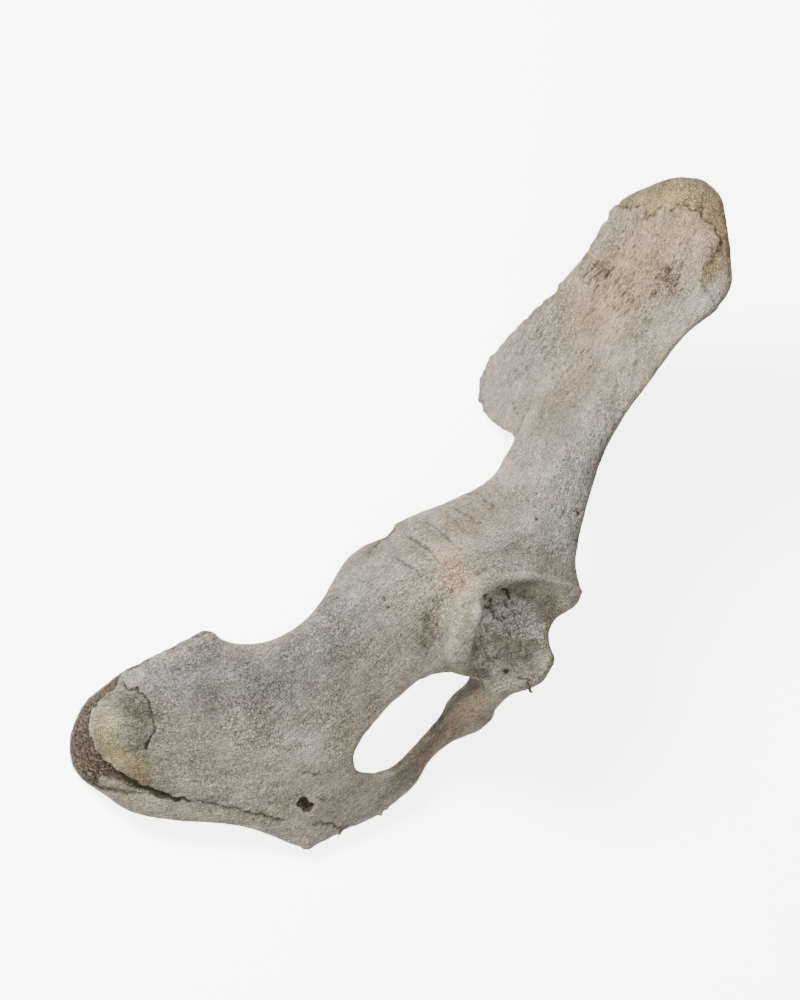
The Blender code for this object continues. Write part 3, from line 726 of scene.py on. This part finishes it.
@dataclass
class HipBone:
    """The bone's skin: rebuilt finely over the solid, marked and masked.

    Sizes are in millimetres, and a pair is a least and a most.
    """

    voxel: float = 0.8
    weld: float = 0.02
    relax_rounds: int = 22
    relax_share: float = 0.5
    uneven: tuple[Relief, ...] = (
        Relief(0.4, 16.0, 2, 3), Relief(0.22, 4.5, 3, 7), Relief(0.12, 1.7, 1, 9))
    chips: Relief = Relief(1.0, 5.5, 3, 61)
    chip_depth: float = 1.3
    chip_bias: float = 0.05         # above 0, chips take more than half of an edge
    chip_full: float = 0.6          # noise at which a chip has its full depth
    edge_rounds: int = 50
    edge_proud: float = 0.5         # an edge stands out more than this
    hair_seed: int = 12
    hair_cracks: int = 80
    hair_spread: float = 26.0       # to each side of the long way
    hair_length: tuple[float, float] = (3, 11)
    hair_bend: float = 0.12         # share of the length
    hair_width: float = 0.45
    hair_rise: float = -0.2
    hair_strength: tuple[float, float] = (0.15, 0.5)
    shaft_link: int = 6             # link of the long way where the shaft starts
    flake_seed: int = 31
    flake_edges: tuple[tuple[tuple, int], ...] = ((HIP_POINT_EDGE, 46), (SITTING_EDGE, 14))
    flake_length: tuple[float, float] = (1.5, 6.0)
    flake_width: tuple[float, float] = (0.35, 0.6)
    flake_rise: float = -0.35
    flake_strength: tuple[float, float] = (0.2, 0.6)
    fleck_seed: int = 5
    fleck_scatter: float = 0.6      # share of a field's reach
    fleck_way: tuple[float, float] = (0.6, 0.8)
    fleck_length: tuple[float, float] = (0.4, 4.0)
    fleck_width: tuple[float, float] = (0.4, 0.9)
    fleck_rise: float = -0.15
    fleck_strength: tuple[float, float] = (0.8, 1.6)
    dark_flecks: float = 0.5        # share of the flecks
    dark_width: float = 0.7
    dark_strength: float = 0.75
    crest_relief: Relief = Relief(2.3, 5.0, 3, 31)
    crest_width: float = 4.5
    crest_dirt: float = 0.4
    crest_dirt_width: float = 2.0
    cells: Relief = Relief(1.0, 1.8, 2, 41)
    cell_wall: float = 3.0          # the higher, the thicker the walls between cells
    dips: Relief = Relief(0.5, 7.0, 1, 45)
    spongy_depth: float = 0.6
    cream_relief: Relief = Relief(0.35, 3.0, 3, 47)
    ear_relief: Relief = Relief(0.8, 4.0, 3, 53)
    hollow_rounds: int = 8
    hollow_gain: float = 4.0
    hollow_soft: int = 2            # rounds that soften the fine hollows
    broad_rounds: int = 60
    broad_gain: float = 0.5
    broad_range: tuple[float, float] = (-0.4, 0.15)
    long_way: tuple[tuple[float, float], ...] = (
        (-243, -64), (-190, -60), (-140, -52), (-95, -18), (-50, 22), (0, 45),
        (20, 80), (28, 105), (45, 150), (75, 200), (95, 245))
    crest: tuple[tuple[float, float], ...] = (
        (58, 236), (47, 217), (24, 191), (1, 168), (-16, 148), (-21, 134), (-17, 120))

    def build(self, view: PictureView) -> bpy.types.Object:
        """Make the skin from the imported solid.

        Args:
            view: the view in which the marks are placed.

        Returns:
            The skin's object.
        """
        thing = self.rebuilt_solid()
        skin = Skin(thing, view)
        skin.roughen(sum(relief.at(skin.spots / MM) for relief in self.uneven))
        self.chip_edges(skin)
        skin.apply(STEP_MARKS)
        skin.apply(SOCKET_MARKS)
        skin.apply(SHAFT_MARKS + WING_MARKS + PLATE_MARKS + INNER_MARKS)
        skin.apply(self.hairlines() + self.flakes() + self.flecks())
        self.add_crest(skin)
        self.add_spongy(skin)
        self.add_rough_faces(skin)
        skin.spots[:, 2] = np.maximum(skin.spots[:, 2], 0.0)
        skin.refresh()
        self.keep_masks(skin)
        thing.data.shade_smooth()
        return thing

    def rebuilt_solid(self) -> bpy.types.Object:
        """Copy the solid and rebuild its skin on a fine voxel grid.

        Returns:
            A new object with the fine mesh.
        """
        mesh = bmesh.new()
        mesh.from_mesh(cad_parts["hip_bone"].data)
        bmesh.ops.remove_doubles(mesh, verts=mesh.verts, dist=self.weld * MM)
        data = bpy.data.meshes.new("hip_bone_skin")
        mesh.to_mesh(data)
        mesh.free()
        data.materials.clear()
        thing = bpy.data.objects.new("hip_bone_skin", data)
        bpy.context.scene.collection.objects.link(thing)
        remesh = thing.modifiers.new("fine", "REMESH")
        remesh.mode = "VOXEL"
        remesh.voxel_size = self.voxel * MM
        relax = thing.modifiers.new("relax", "SMOOTH")
        relax.factor = self.relax_share
        relax.iterations = self.relax_rounds
        graph = bpy.context.evaluated_depsgraph_get()
        fine = bpy.data.meshes.new_from_object(thing.evaluated_get(graph))
        thing.modifiers.clear()
        thing.data = fine
        return thing

    def chip_edges(self, skin: Skin) -> None:
        """Wear small chips out of the thin edges, which makes the outline ragged.

        Args:
            skin: the skin that is worn.
        """
        edge = smooth_step(skin.proud(self.edge_rounds) - self.edge_proud)
        chips = self.chips.at(skin.spots / MM) + self.chip_bias
        chips = np.clip(chips, 0.0, self.chip_full) / self.chip_full
        skin.roughen(-edge * chips * self.chip_depth)

    def hairlines(self) -> tuple[Mark, ...]:
        """Fine cracks that run with the grain of the wing and the shaft.

        Returns:
            One mark for each crack.
        """
        chance = np.random.default_rng(self.hair_seed)
        way = np.array(self.long_way)
        marks = []
        for number in range(self.hair_cracks):
            link = chance.integers(self.shaft_link, len(way) - 1)
            run = way[link + 1] - way[link]
            run = run / np.linalg.norm(run)
            side = np.array((-run[1], run[0]))
            start = (way[link] + chance.uniform(0, 1) * (way[link + 1] - way[link])
                     + side * chance.uniform(-self.hair_spread, self.hair_spread))
            length = chance.uniform(*self.hair_length)
            bend = chance.uniform(-self.hair_bend, self.hair_bend) * length
            marks.append(Mark(
                f"hair crack {number + 1}",
                as_places(start, start + run * length / 2 + side * bend,
                          start + run * length),
                self.hair_width, self.hair_rise, DARK,
                chance.uniform(*self.hair_strength), ragged=0.8, tapered=True))
        return tuple(marks)

    def flakes(self) -> tuple[Mark, ...]:
        """Short cracks across the ragged edges, where the hard bone flakes off.

        Returns:
            One mark for each crack.
        """
        chance = np.random.default_rng(self.flake_seed)
        marks = []
        for edge, count in self.flake_edges:
            line = np.array(edge)
            for _ in range(count):
                link = chance.integers(0, len(line) - 1)
                share = chance.uniform(0, 1)
                start = line[link] * (1 - share) + line[link + 1] * share
                angle = chance.uniform(0, 2 * math.pi)
                reach = chance.uniform(*self.flake_length)
                way = np.array((math.cos(angle), math.sin(angle))) * reach
                marks.append(Mark(
                    f"flake crack {len(marks) + 1}", as_places(start, start + way),
                    chance.uniform(*self.flake_width), self.flake_rise, DARK,
                    chance.uniform(*self.flake_strength), ragged=1.2, tapered=True))
        return tuple(marks)

    def flecks(self) -> tuple[Mark, ...]:
        """Dirt flecks, drawn out a little along the grain.

        Returns:
            One mark for each fleck.
        """
        chance = np.random.default_rng(self.fleck_seed)
        marks = []
        for field in FLECKS:
            for _ in range(field.count):
                stray = chance.normal(0.0, self.fleck_scatter, 2) * field.reach
                spot = np.array(field.place) + stray
                drawn = np.array(self.fleck_way) * chance.uniform(*self.fleck_length)
                width = field.width * chance.uniform(*self.fleck_width)
                strength = field.strength * chance.uniform(*self.fleck_strength)
                tone = STAIN_AND_SHADE
                if chance.uniform(0, 1) < self.dark_flecks:
                    tone = DARK
                    width *= self.dark_width
                    strength *= self.dark_strength
                marks.append(Mark(f"fleck {len(marks) + 1}", as_places(spot, spot + drawn),
                                  width, self.fleck_rise, tone, strength, ragged=0.6))
        return tuple(marks)

    def add_crest(self, skin: Skin) -> None:
        """Ripple the unfused crest along the wing's upper edge.

        Args:
            skin: the skin that is shaped.
        """
        gap, _ = run_distance(skin.seen, np.array(self.crest, dtype=float), False)
        dirt = np.exp(-(gap / self.crest_dirt_width) ** 2) * self.crest_dirt
        skin.tones[STAIN_AND_SHADE] = np.maximum(skin.tones[STAIN_AND_SHADE], dirt)
        near = np.exp(-(gap / self.crest_width) ** 2)
        skin.roughen(near * self.crest_relief.at(skin.spots / MM))

    def add_spongy(self, skin: Skin) -> None:
        """Open the cells of the spongy bone where the hard shell is missing.

        Args:
            skin: the skin that is shaped.
        """
        points = skin.spots / MM
        cells = smooth_step(1.0 - np.abs(self.cells.at(points)) * self.cell_wall)
        depth = cells + 0.5 + self.dips.at(points)
        lift = -skin.tones[SPONGY] * depth * self.spongy_depth
        skin.roughen(lift + skin.tones[CREAM] * self.cream_relief.at(points))

    def add_rough_faces(self, skin: Skin) -> None:
        """Roughen the joint face on the inner side.

        Args:
            skin: the skin that is shaped.
        """
        ear = Mark("ear-shaped face, rough", INNER_MARKS[0].places, 6.0, kind=AREA,
                   ragged=2.0, side=INNER)
        chosen, share = skin.weight(ear)
        lift = np.zeros(len(skin.spots))
        lift[chosen] = share * self.ear_relief.at(skin.spots[chosen] / MM)
        skin.roughen(lift)

    def keep_masks(self, skin: Skin) -> None:
        """Store the masks, the hollows and the grain's way on the mesh.

        Args:
            skin: the finished skin.
        """
        for tone, mask in skin.tones.items():
            skin.store(tone.value, np.clip(mask, 0.0, 1.0))
        hollow = skin.evened(-skin.proud(self.hollow_rounds), self.hollow_soft)
        hollow *= self.hollow_gain
        broad = np.clip(-skin.proud(self.broad_rounds) * self.broad_gain, *self.broad_range)
        skin.store("hollow", np.clip(hollow + broad, -1, 1))
        way = np.array(self.long_way, dtype=float)
        gap, along = run_distance(skin.seen, way, False)
        lengths = np.concatenate(
            ([0.0], np.cumsum(np.linalg.norm(np.diff(way, axis=0), axis=1))))
        distance = np.interp(along * (len(way) - 1), np.arange(len(way)), lengths)
        place = np.stack((distance, gap, skin.depth), axis=1) * MM
        skin.store("grain_way", place)


@dataclass
class LigamentWisp:
    """A dried shred of ligament that hangs from the socket's lower rim."""

    places: tuple[tuple[float, float, float], ...] = (
        (6.8, -28.6, 0), (7.6, -30.6, 1.2), (8.4, -32.4, 1.6), (8.8, -33.6, 1.6),
        (9.9, -34.4, 1.4))
    radii: tuple[float, ...] = (0.5, 0.7, 0.9, 0.8, 0.3)
    reach: float = 1.2              # where the bone's surface is looked for
    sunk: float = 0.5
    around: int = 10
    lobes: float = 3.0              # fibres that show round the shred
    lobe_height: float = 0.25       # share of the radius
    cuts: int = 2
    rounding: float = 0.6

    def build(self, view: PictureView, bone: bpy.types.Object) -> bpy.types.Object:
        """Loft the shred through its places, from the bone's surface on.

        Args:
            view: the view in which the places are given.
            bone: the skin that the shred hangs from.

        Returns:
            The shred's object.
        """
        mesh = bmesh.new()
        surface = np.empty(len(bone.data.vertices) * 3)
        bone.data.vertices.foreach_get("co", surface)
        seen, depth = view.seen(surface.reshape(-1, 3))
        near = np.linalg.norm(seen - np.array(self.places[0][:2]), axis=1) < self.reach
        start = float(depth[near].max()) - self.places[0][2] - self.sunk
        spots = [view.point(across, up, depth + start) for across, up, depth in self.places]
        rings = []
        for index, (spot, radius) in enumerate(zip(spots, self.radii)):
            ahead = spots[min(index + 1, len(spots) - 1)] - spots[max(index - 1, 0)]
            turn = ahead.to_track_quat("Z", "Y").to_matrix()
            ring = []
            for corner in range(self.around):
                angle = 2.0 * math.pi * corner / self.around
                lobe = self.lobe_height * math.sin(self.lobes * angle + index)
                reach = radius * (1.0 + lobe) * MM
                offset = Vector((math.cos(angle) * reach, math.sin(angle) * reach, 0))
                ring.append(mesh.verts.new(spot + turn @ offset))
            rings.append(ring)
        for ring, ahead in zip(rings, rings[1:]):
            for corner in range(self.around):
                after = (corner + 1) % self.around
                mesh.faces.new((ring[corner], ring[after], ahead[after], ahead[corner]))
        mesh.faces.new(rings[0][::-1])
        mesh.faces.new(rings[-1])
        bmesh.ops.recalc_face_normals(mesh, faces=mesh.faces)
        bmesh.ops.subdivide_edges(mesh, edges=mesh.edges, cuts=self.cuts,
                                  use_grid_fill=True, smooth=self.rounding)
        data = bpy.data.meshes.new("ligament_wisp")
        mesh.to_mesh(data)
        mesh.free()
        data.shade_smooth()
        thing = bpy.data.objects.new("ligament_wisp", data)
        bpy.context.scene.collection.objects.link(thing)
        return thing


def linear(code: str) -> tuple[float, float, float, float]:
    """Turn an sRGB hex colour into linear red, green, blue and alpha."""
    parts = [int(code[start:start + 2], 16) / 255.0 for start in (1, 3, 5)]
    bent = [part / 12.92 if part <= 0.04045 else ((part + 0.055) / 1.055) ** 2.4
            for part in parts]
    return bent[0], bent[1], bent[2], 1.0


def add_node(tree: bpy.types.NodeTree, kind: str, sockets: dict | None = None,
             **settings: object) -> bpy.types.Node:
    """Add a node with its settings, values and links.

    Args:
        tree: the node tree.
        kind: the node's type name.
        sockets: input name or number to a value or to another node's output.
        **settings: properties of the node.

    Returns:
        The new node.
    """
    node = tree.nodes.new(kind)
    for name, value in settings.items():
        setattr(node, name, value)
    for name, value in (sockets or {}).items():
        if isinstance(value, bpy.types.NodeSocket):
            tree.links.new(value, node.inputs[name])
        else:
            node.inputs[name].default_value = value
    return node


class Finish:
    """A material's node tree, with the few operations that the finishes need."""

    def __init__(self, name: str) -> None:
        """Start an empty material.

        Args:
            name: the material's name.
        """
        self.paint = bpy.data.materials.new(name)
        self.paint.use_nodes = True
        self.tree = self.paint.node_tree
        self.tree.nodes.clear()
        self.place = add_node(self.tree, "ShaderNodeTexCoord").outputs["Object"]

    def kept(self, name: str, output: str = "Fac") -> Socket:
        """Attribute that the skin keeps."""
        return add_node(self.tree, "ShaderNodeAttribute", attribute_name=name).outputs[output]

    def cloud(self, knots: float, detail: float) -> Socket:
        """Cloudy noise with so many mm between its knots."""
        return add_node(self.tree, "ShaderNodeTexNoise", {
            "Vector": self.place, "Scale": 1.0 / (knots * MM),
            "Detail": detail}).outputs["Fac"]

    def dots(self, place: Socket, spacing: float, feature: str = "F1") -> Socket:
        """Distance from dots, or from the edges between them, so many mm apart."""
        return add_node(self.tree, "ShaderNodeTexVoronoi", {
            "Vector": place, "Scale": 1.0 / (spacing * MM)},
            feature=feature).outputs["Distance"]

    def ranged(self, value: Socket, span: Span) -> Socket:
        """Map a value from the span's first two numbers to its last two."""
        sockets = dict(zip(("From Min", "From Max", "To Min", "To Max"), span), Value=value)
        return add_node(self.tree, "ShaderNodeMapRange", sockets, clamp=True).outputs[0]

    def worked(self, work: str, first: Socket, second: Socket | float) -> Socket:
        """Work out a value from two others."""
        return add_node(self.tree, "ShaderNodeMath", {0: first, 1: second},
                        operation=work).outputs[0]

    def times(self, first: Socket, second: Socket | float) -> Socket:
        """Multiply two values."""
        return self.worked("MULTIPLY", first, second)

    def vectors(self, work: str, first: Socket, second: Socket | tuple) -> Socket:
        """Work out a vector or a colour from two others."""
        return add_node(self.tree, "ShaderNodeVectorMath", {0: first, 1: second},
                        operation=work).outputs[0]

    def mixed(self, factor: Socket, first: Socket | tuple, second: Socket | tuple) -> Socket:
        """Mix two colours by a factor."""
        return add_node(self.tree, "ShaderNodeMix", {0: factor, 6: first, 7: second},
                        data_type="RGBA").outputs[2]

    def end(self, colour: Socket, height: Socket, bump: tuple[float, float],
            surface: dict[str, float]) -> bpy.types.Material:
        """Close the tree with a bumped surface.

        Args:
            colour: the colour.
            height: the height that the bump follows.
            bump: the bump's strength, and its height in mm.
            surface: values for the shader's other inputs.

        Returns:
            The material.
        """
        strength, rise = bump
        normal = add_node(self.tree, "ShaderNodeBump", {
            "Strength": strength, "Distance": rise * MM, "Height": height})
        shader = add_node(self.tree, "ShaderNodeBsdfPrincipled", {
            "Base Color": colour, "Normal": normal.outputs["Normal"], **surface})
        add_node(self.tree, "ShaderNodeOutputMaterial", {"Surface": shader.outputs["BSDF"]})
        return self.paint


@dataclass(frozen=True)
class WeatheredBone:
    """Dry bone, bleached and weathered outdoors: matt, porous, unevenly grey.

    Cortical bone gives a chalky grey-beige with fine dark pores and streaks
    along the grain.  Sizes are in millimetres.  A cloud is a knot distance and a
    detail, and a grain is how long and how wide its streaks are.
    """

    name: str = "weathered_cortical_bone"
    warm: str = "#948A74"
    cool: str = "#858276"
    # the pale tint also serves as painted light on shaded surfaces
    tints: tuple[tuple[Tone, str, float], ...] = (      # tone, colour, strength
        (BLUE, "#84857F", 0.75), (PINK, "#A08165", 0.75), (CREAM, "#94835C", 0.95),
        (PALE, "#D8D2C2", 1.0))
    # stain colour; it also paints the shade that some marks lay, and darkens the hollows
    stain: str = "#55483A"
    spongy: str = "#281E15"
    spongy_wall: str = "#78654D"
    dark: str = "#1E1711"
    worn: str = "#A0967F"
    roughness: float = 0.88
    specular: float = 0.28
    ior: float = 1.54               # hydroxyapatite and collagen, dry
    blotch: tuple[float, float] = (26.0, 4.0)       # broad clouding, from the photograph
    mottle: tuple[float, float] = (3.2, 5.0)        # small clouding
    grit: tuple[float, float] = (0.5, 2.0)          # chalky grit, coarser so it shows
    crumbs: tuple[float, float] = (1.6, 3.0)        # crumbs of spongy bone
    pore_patches: tuple[float, float] = (9.0, 3.0)
    pore_spacing: float = 1.5       # pores of 0.2 mm, drawn coarser so they show
    crackle_spacing: float = 2.3
    crackle_bend: float = 2.4
    crackle_bend_knots: float = 2.0
    cell_spacing: float = 1.0       # spongy bone's cells
    grain: tuple[float, float] = (5.5, 0.65)        # fibre streaks
    drift: tuple[float, float] = (26.0, 9.0)        # soft light and dark bands
    grain_flatness: float = 0.3     # how little the grain changes into the depth
    grain_detail: float = 3.0
    crazing: Span = (0.4, 0.6, 0.15, 0.75)
    crack_edge: Span = (0.02, 0.09, 1.0, 0.0)
    pore_edge: Span = (0.14, 0.34, 1.0, 0.0)
    pore_share: Span = (0.42, 0.62, 0.15, 1.0)
    crumb_share: Span = (0.48, 0.68, 0.0, 1.0)
    stain_small: Span = (0.36, 0.56, 0.4, 1.0)
    stain_fine: Span = (0.4, 0.6, 1.0, 0.55)
    dirt: Span = (0.3, 1.0, 0.0, 0.75)              # darker in the hollows, by how far the skin sinks
    wear: Span = (-0.1, -0.8, 0.0, 0.15)            # on edges
    shade_small: Span = (0.36, 0.64, 0.86, 1.12)
    shade_streaks: Span = (0.38, 0.62, 0.74, 1.2)
    shade_fine: Span = (0.4, 0.6, 0.5, 1.44)
    shade_drift: Span = (0.38, 0.62, 0.82, 1.12)
    crack_strength: float = 0.5
    pore_strength: float = 0.75
    heights: tuple[float, ...] = (0.5, 0.6, 0.55, -0.8, -0.9)
    bump: tuple[float, float] = (1.0, 1.1)

    def make(self) -> bpy.types.Material:
        """Build the finish.

        Returns:
            The material.
        """
        nodes = Finish(self.name)
        tones = {tone: nodes.kept(tone.value) for tone in Tone}
        hollow = nodes.kept("hollow")
        broad, small, fine = (nodes.cloud(*cloud)
                              for cloud in (self.blotch, self.mottle, self.grit))
        streaks = self.streaks(nodes, self.grain)
        drift = self.streaks(nodes, self.drift)
        pores = nodes.times(
            nodes.ranged(nodes.dots(nodes.place, self.pore_spacing), self.pore_edge),
            nodes.ranged(nodes.cloud(*self.pore_patches), self.pore_share))
        lines = nodes.times(self.crackle(nodes), nodes.worked(
            "MAXIMUM", tones[CRACKLE], nodes.ranged(broad, self.crazing)))
        clouded = nodes.times(nodes.ranged(small, self.stain_small),
                              nodes.ranged(fine, self.stain_fine))
        sponge = nodes.mixed(nodes.ranged(nodes.cloud(*self.crumbs), self.crumb_share),
                             linear(self.spongy), linear(self.spongy_wall))
        stain, dark = linear(self.stain), linear(self.dark)
        colour = nodes.mixed(broad, linear(self.cool), linear(self.warm))
        for tone, code, share in self.tints:
            colour = nodes.mixed(nodes.times(tones[tone], share), colour, linear(code))
        for factor, over in ((tones[SPONGY], sponge),
                             (nodes.times(tones[STAIN_AND_SHADE], clouded), stain),
                             # darkens the colour where the skin sinks into hollows
                             (nodes.ranged(hollow, self.dirt), stain),
                             (nodes.ranged(hollow, self.wear), linear(self.worn))):
            colour = nodes.mixed(factor, colour, over)
        for cloud, span in ((small, self.shade_small), (streaks, self.shade_streaks),
                            (fine, self.shade_fine), (drift, self.shade_drift)):
            colour = nodes.vectors("MULTIPLY", colour, nodes.ranged(cloud, span))
        for factor, over in ((nodes.times(lines, self.crack_strength), dark),
                             (nodes.times(pores, self.pore_strength), stain),
                             (tones[DARK], dark)):
            colour = nodes.mixed(factor, colour, over)
        height = nodes.times(nodes.dots(nodes.place, self.cell_spacing), tones[SPONGY])
        for part, share in zip((fine, small, streaks, pores, lines), self.heights):
            height = nodes.worked("ADD", height, nodes.times(part, share))
        return nodes.end(colour, height, self.bump, {
            "Roughness": self.roughness, "IOR": self.ior,
            "Specular IOR Level": self.specular})

    def streaks(self, nodes: Finish, grain: tuple[float, float]) -> Socket:
        """Noise drawn out along the bone's grain.

        Args:
            nodes: the finish.
            grain: how long and how wide the streaks are in mm.

        Returns:
            The noise.
        """
        along, across = grain
        way = nodes.vectors("MULTIPLY", nodes.kept("grain_way", "Vector"), (
            1.0 / (along * MM), 1.0 / (across * MM), self.grain_flatness / (across * MM)))
        return add_node(nodes.tree, "ShaderNodeTexNoise", {
            "Vector": way, "Scale": 1.0, "Detail": self.grain_detail}).outputs["Fac"]

    def crackle(self, nodes: Finish) -> Socket:
        """Net of fine bent cracks.

        Args:
            nodes: the finish.

        Returns:
            1 on a crack and 0 off it.
        """
        bent = add_node(nodes.tree, "ShaderNodeTexNoise", {
            "Vector": nodes.place, "Scale": 1.0 / (self.crackle_bend_knots * MM),
            "Detail": self.grain_detail}).outputs["Color"]
        moved = nodes.vectors("MULTIPLY", bent, (self.crackle_bend * MM,) * 3)
        net = nodes.dots(nodes.vectors("ADD", nodes.place, moved), self.crackle_spacing,
                         "DISTANCE_TO_EDGE")
        return nodes.ranged(net, self.crack_edge)


@dataclass(frozen=True)
class DriedLigament:
    """Dried ligament: dark amber-brown, slightly waxy fibres."""

    name: str = "dried_ligament"
    light: str = "#40301F"
    dark: str = "#241A13"
    fibre: float = 0.5              # mm between fibres
    detail: float = 2.0
    roughness: float = 0.55
    ior: float = 1.5
    bump: tuple[float, float] = (0.4, 0.2)

    def make(self) -> bpy.types.Material:
        """Build the finish.

        Returns:
            The material.
        """
        nodes = Finish(self.name)
        fibres = nodes.cloud(self.fibre, self.detail)
        colour = nodes.mixed(fibres, linear(self.dark), linear(self.light))
        return nodes.end(colour, fibres, self.bump,
                         {"Roughness": self.roughness, "IOR": self.ior})


@dataclass(frozen=True)
class Lamp:
    """A soft square lamp that shines on the bone, with its sizes in metres.

    Its way is to the right, up and toward the eye of the photograph.
    """

    name: str
    way: tuple[float, float, float]
    distance: float
    size: float
    watts: float

    def add(self, view: PictureView) -> None:
        """Put the lamp in the scene.

        Args:
            view: the view across which its way is given.
        """
        data = bpy.data.lights.new(self.name, "AREA")
        data.shape = "SQUARE"
        data.size = self.size
        data.energy = self.watts
        lamp = bpy.data.objects.new(self.name, data)
        outward = view.direction(*self.way)
        lamp.location = outward * self.distance
        lamp.rotation_euler = outward.to_track_quat("Z", "Y").to_euler()
        bpy.context.scene.collection.objects.link(lamp)


@dataclass
class Studio:
    """Pale floor, soft light and the camera of the photograph."""

    floor_size: float = 8.0
    floor_colour: str = "#F4F3F1"
    floor_glow: float = 5.5         # light table; it lights only itself
    floor_roughness: float = 0.95
    floor_specular: float = 0.1
    lamps: tuple[Lamp, ...] = (Lamp("key", (-0.42, 0.65, 0.9), 1.5, 0.5, 52.0),
                               Lamp("fill", (0.12, -0.15, 1.0), 1.8, 1.2, 21.0))
    sky_colour: tuple[float, ...] = (1.0, 0.995, 0.985, 1.0)
    sky_strength: float = 0.38
    film_height: float = 36.0
    far_clip: float = 20.0

    def build(self, view: PictureView) -> None:
        """Set up the floor, lights and camera.

        Args:
            view: the view that the camera takes.
        """
        self.add_floor()
        for lamp in self.lamps:
            lamp.add(view)
        self.add_sky()
        self.add_camera(view)

    def add_floor(self) -> None:
        """Plain pale matt floor under the bone."""
        half = self.floor_size / 2.0
        data = bpy.data.meshes.new("floor")
        data.from_pydata([(-half, -half, 0), (half, -half, 0), (half, half, 0),
                          (-half, half, 0)], [], [(0, 1, 2, 3)])
        floor = bpy.data.objects.new("floor", data)
        bpy.context.scene.collection.objects.link(floor)
        paint = bpy.data.materials.new("matt_backdrop_card")
        paint.use_nodes = True
        shader = paint.node_tree.nodes["Principled BSDF"]
        colour = linear(self.floor_colour)
        for name, value in (
                ("Base Color", colour), ("Roughness", self.floor_roughness),
                ("Specular IOR Level", self.floor_specular),
                ("Emission Color", colour), ("Emission Strength", self.floor_glow)):
            shader.inputs[name].default_value = value
        data.materials.append(paint)
        alone = bpy.data.collections.new("lit_by_floor")
        alone.objects.link(floor)
        floor.light_linking.receiver_collection = alone

    def add_sky(self) -> None:
        """Even white light from all round."""
        world = bpy.data.worlds.new("soft_tent")
        world.use_nodes = True
        background = world.node_tree.nodes["Background"]
        background.inputs["Color"].default_value = self.sky_colour
        background.inputs["Strength"].default_value = self.sky_strength
        bpy.context.scene.world = world

    def add_camera(self, view: PictureView) -> None:
        """Put the camera where the photograph was taken from.

        Args:
            view: the view that the camera takes.
        """
        data = bpy.data.cameras.new("photo_camera")
        data.sensor_fit = "VERTICAL"
        data.sensor_height = self.film_height
        data.lens = self.film_height * view.eye_distance_mm / view.picture_height_mm
        data.clip_end = self.far_clip
        camera = bpy.data.objects.new("photo_camera", data)
        eye = view.point(*view.axis_mm, 0.0) + Vector(
            view.basis()[2] * view.eye_distance_mm * MM)
        turn = Matrix(view.basis().tolist()).transposed().to_4x4()
        camera.matrix_world = Matrix.Translation(eye) @ turn
        bpy.context.scene.collection.objects.link(camera)
        bpy.context.scene.camera = camera


def main() -> None:
    """Build the bone, dress it and set up the studio."""
    logging.basicConfig(level=logging.INFO, format="%(name)s: %(message)s")
    bone = HipBone().build(VIEW)
    bone.data.materials.append(WeatheredBone().make())
    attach(bone, "root")
    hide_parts("hip_bone")
    LOG.info("%s: %d faces", bone.name, len(bone.data.polygons))
    wisp = LigamentWisp().build(VIEW, bone)
    wisp.data.materials.append(DriedLigament().make())
    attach(wisp, "root")
    LOG.info("%s: %d faces", wisp.name, len(wisp.data.polygons))
    Studio().build(VIEW)
    LOG.info("studio set up")


if __name__ == "__main__":
    main()
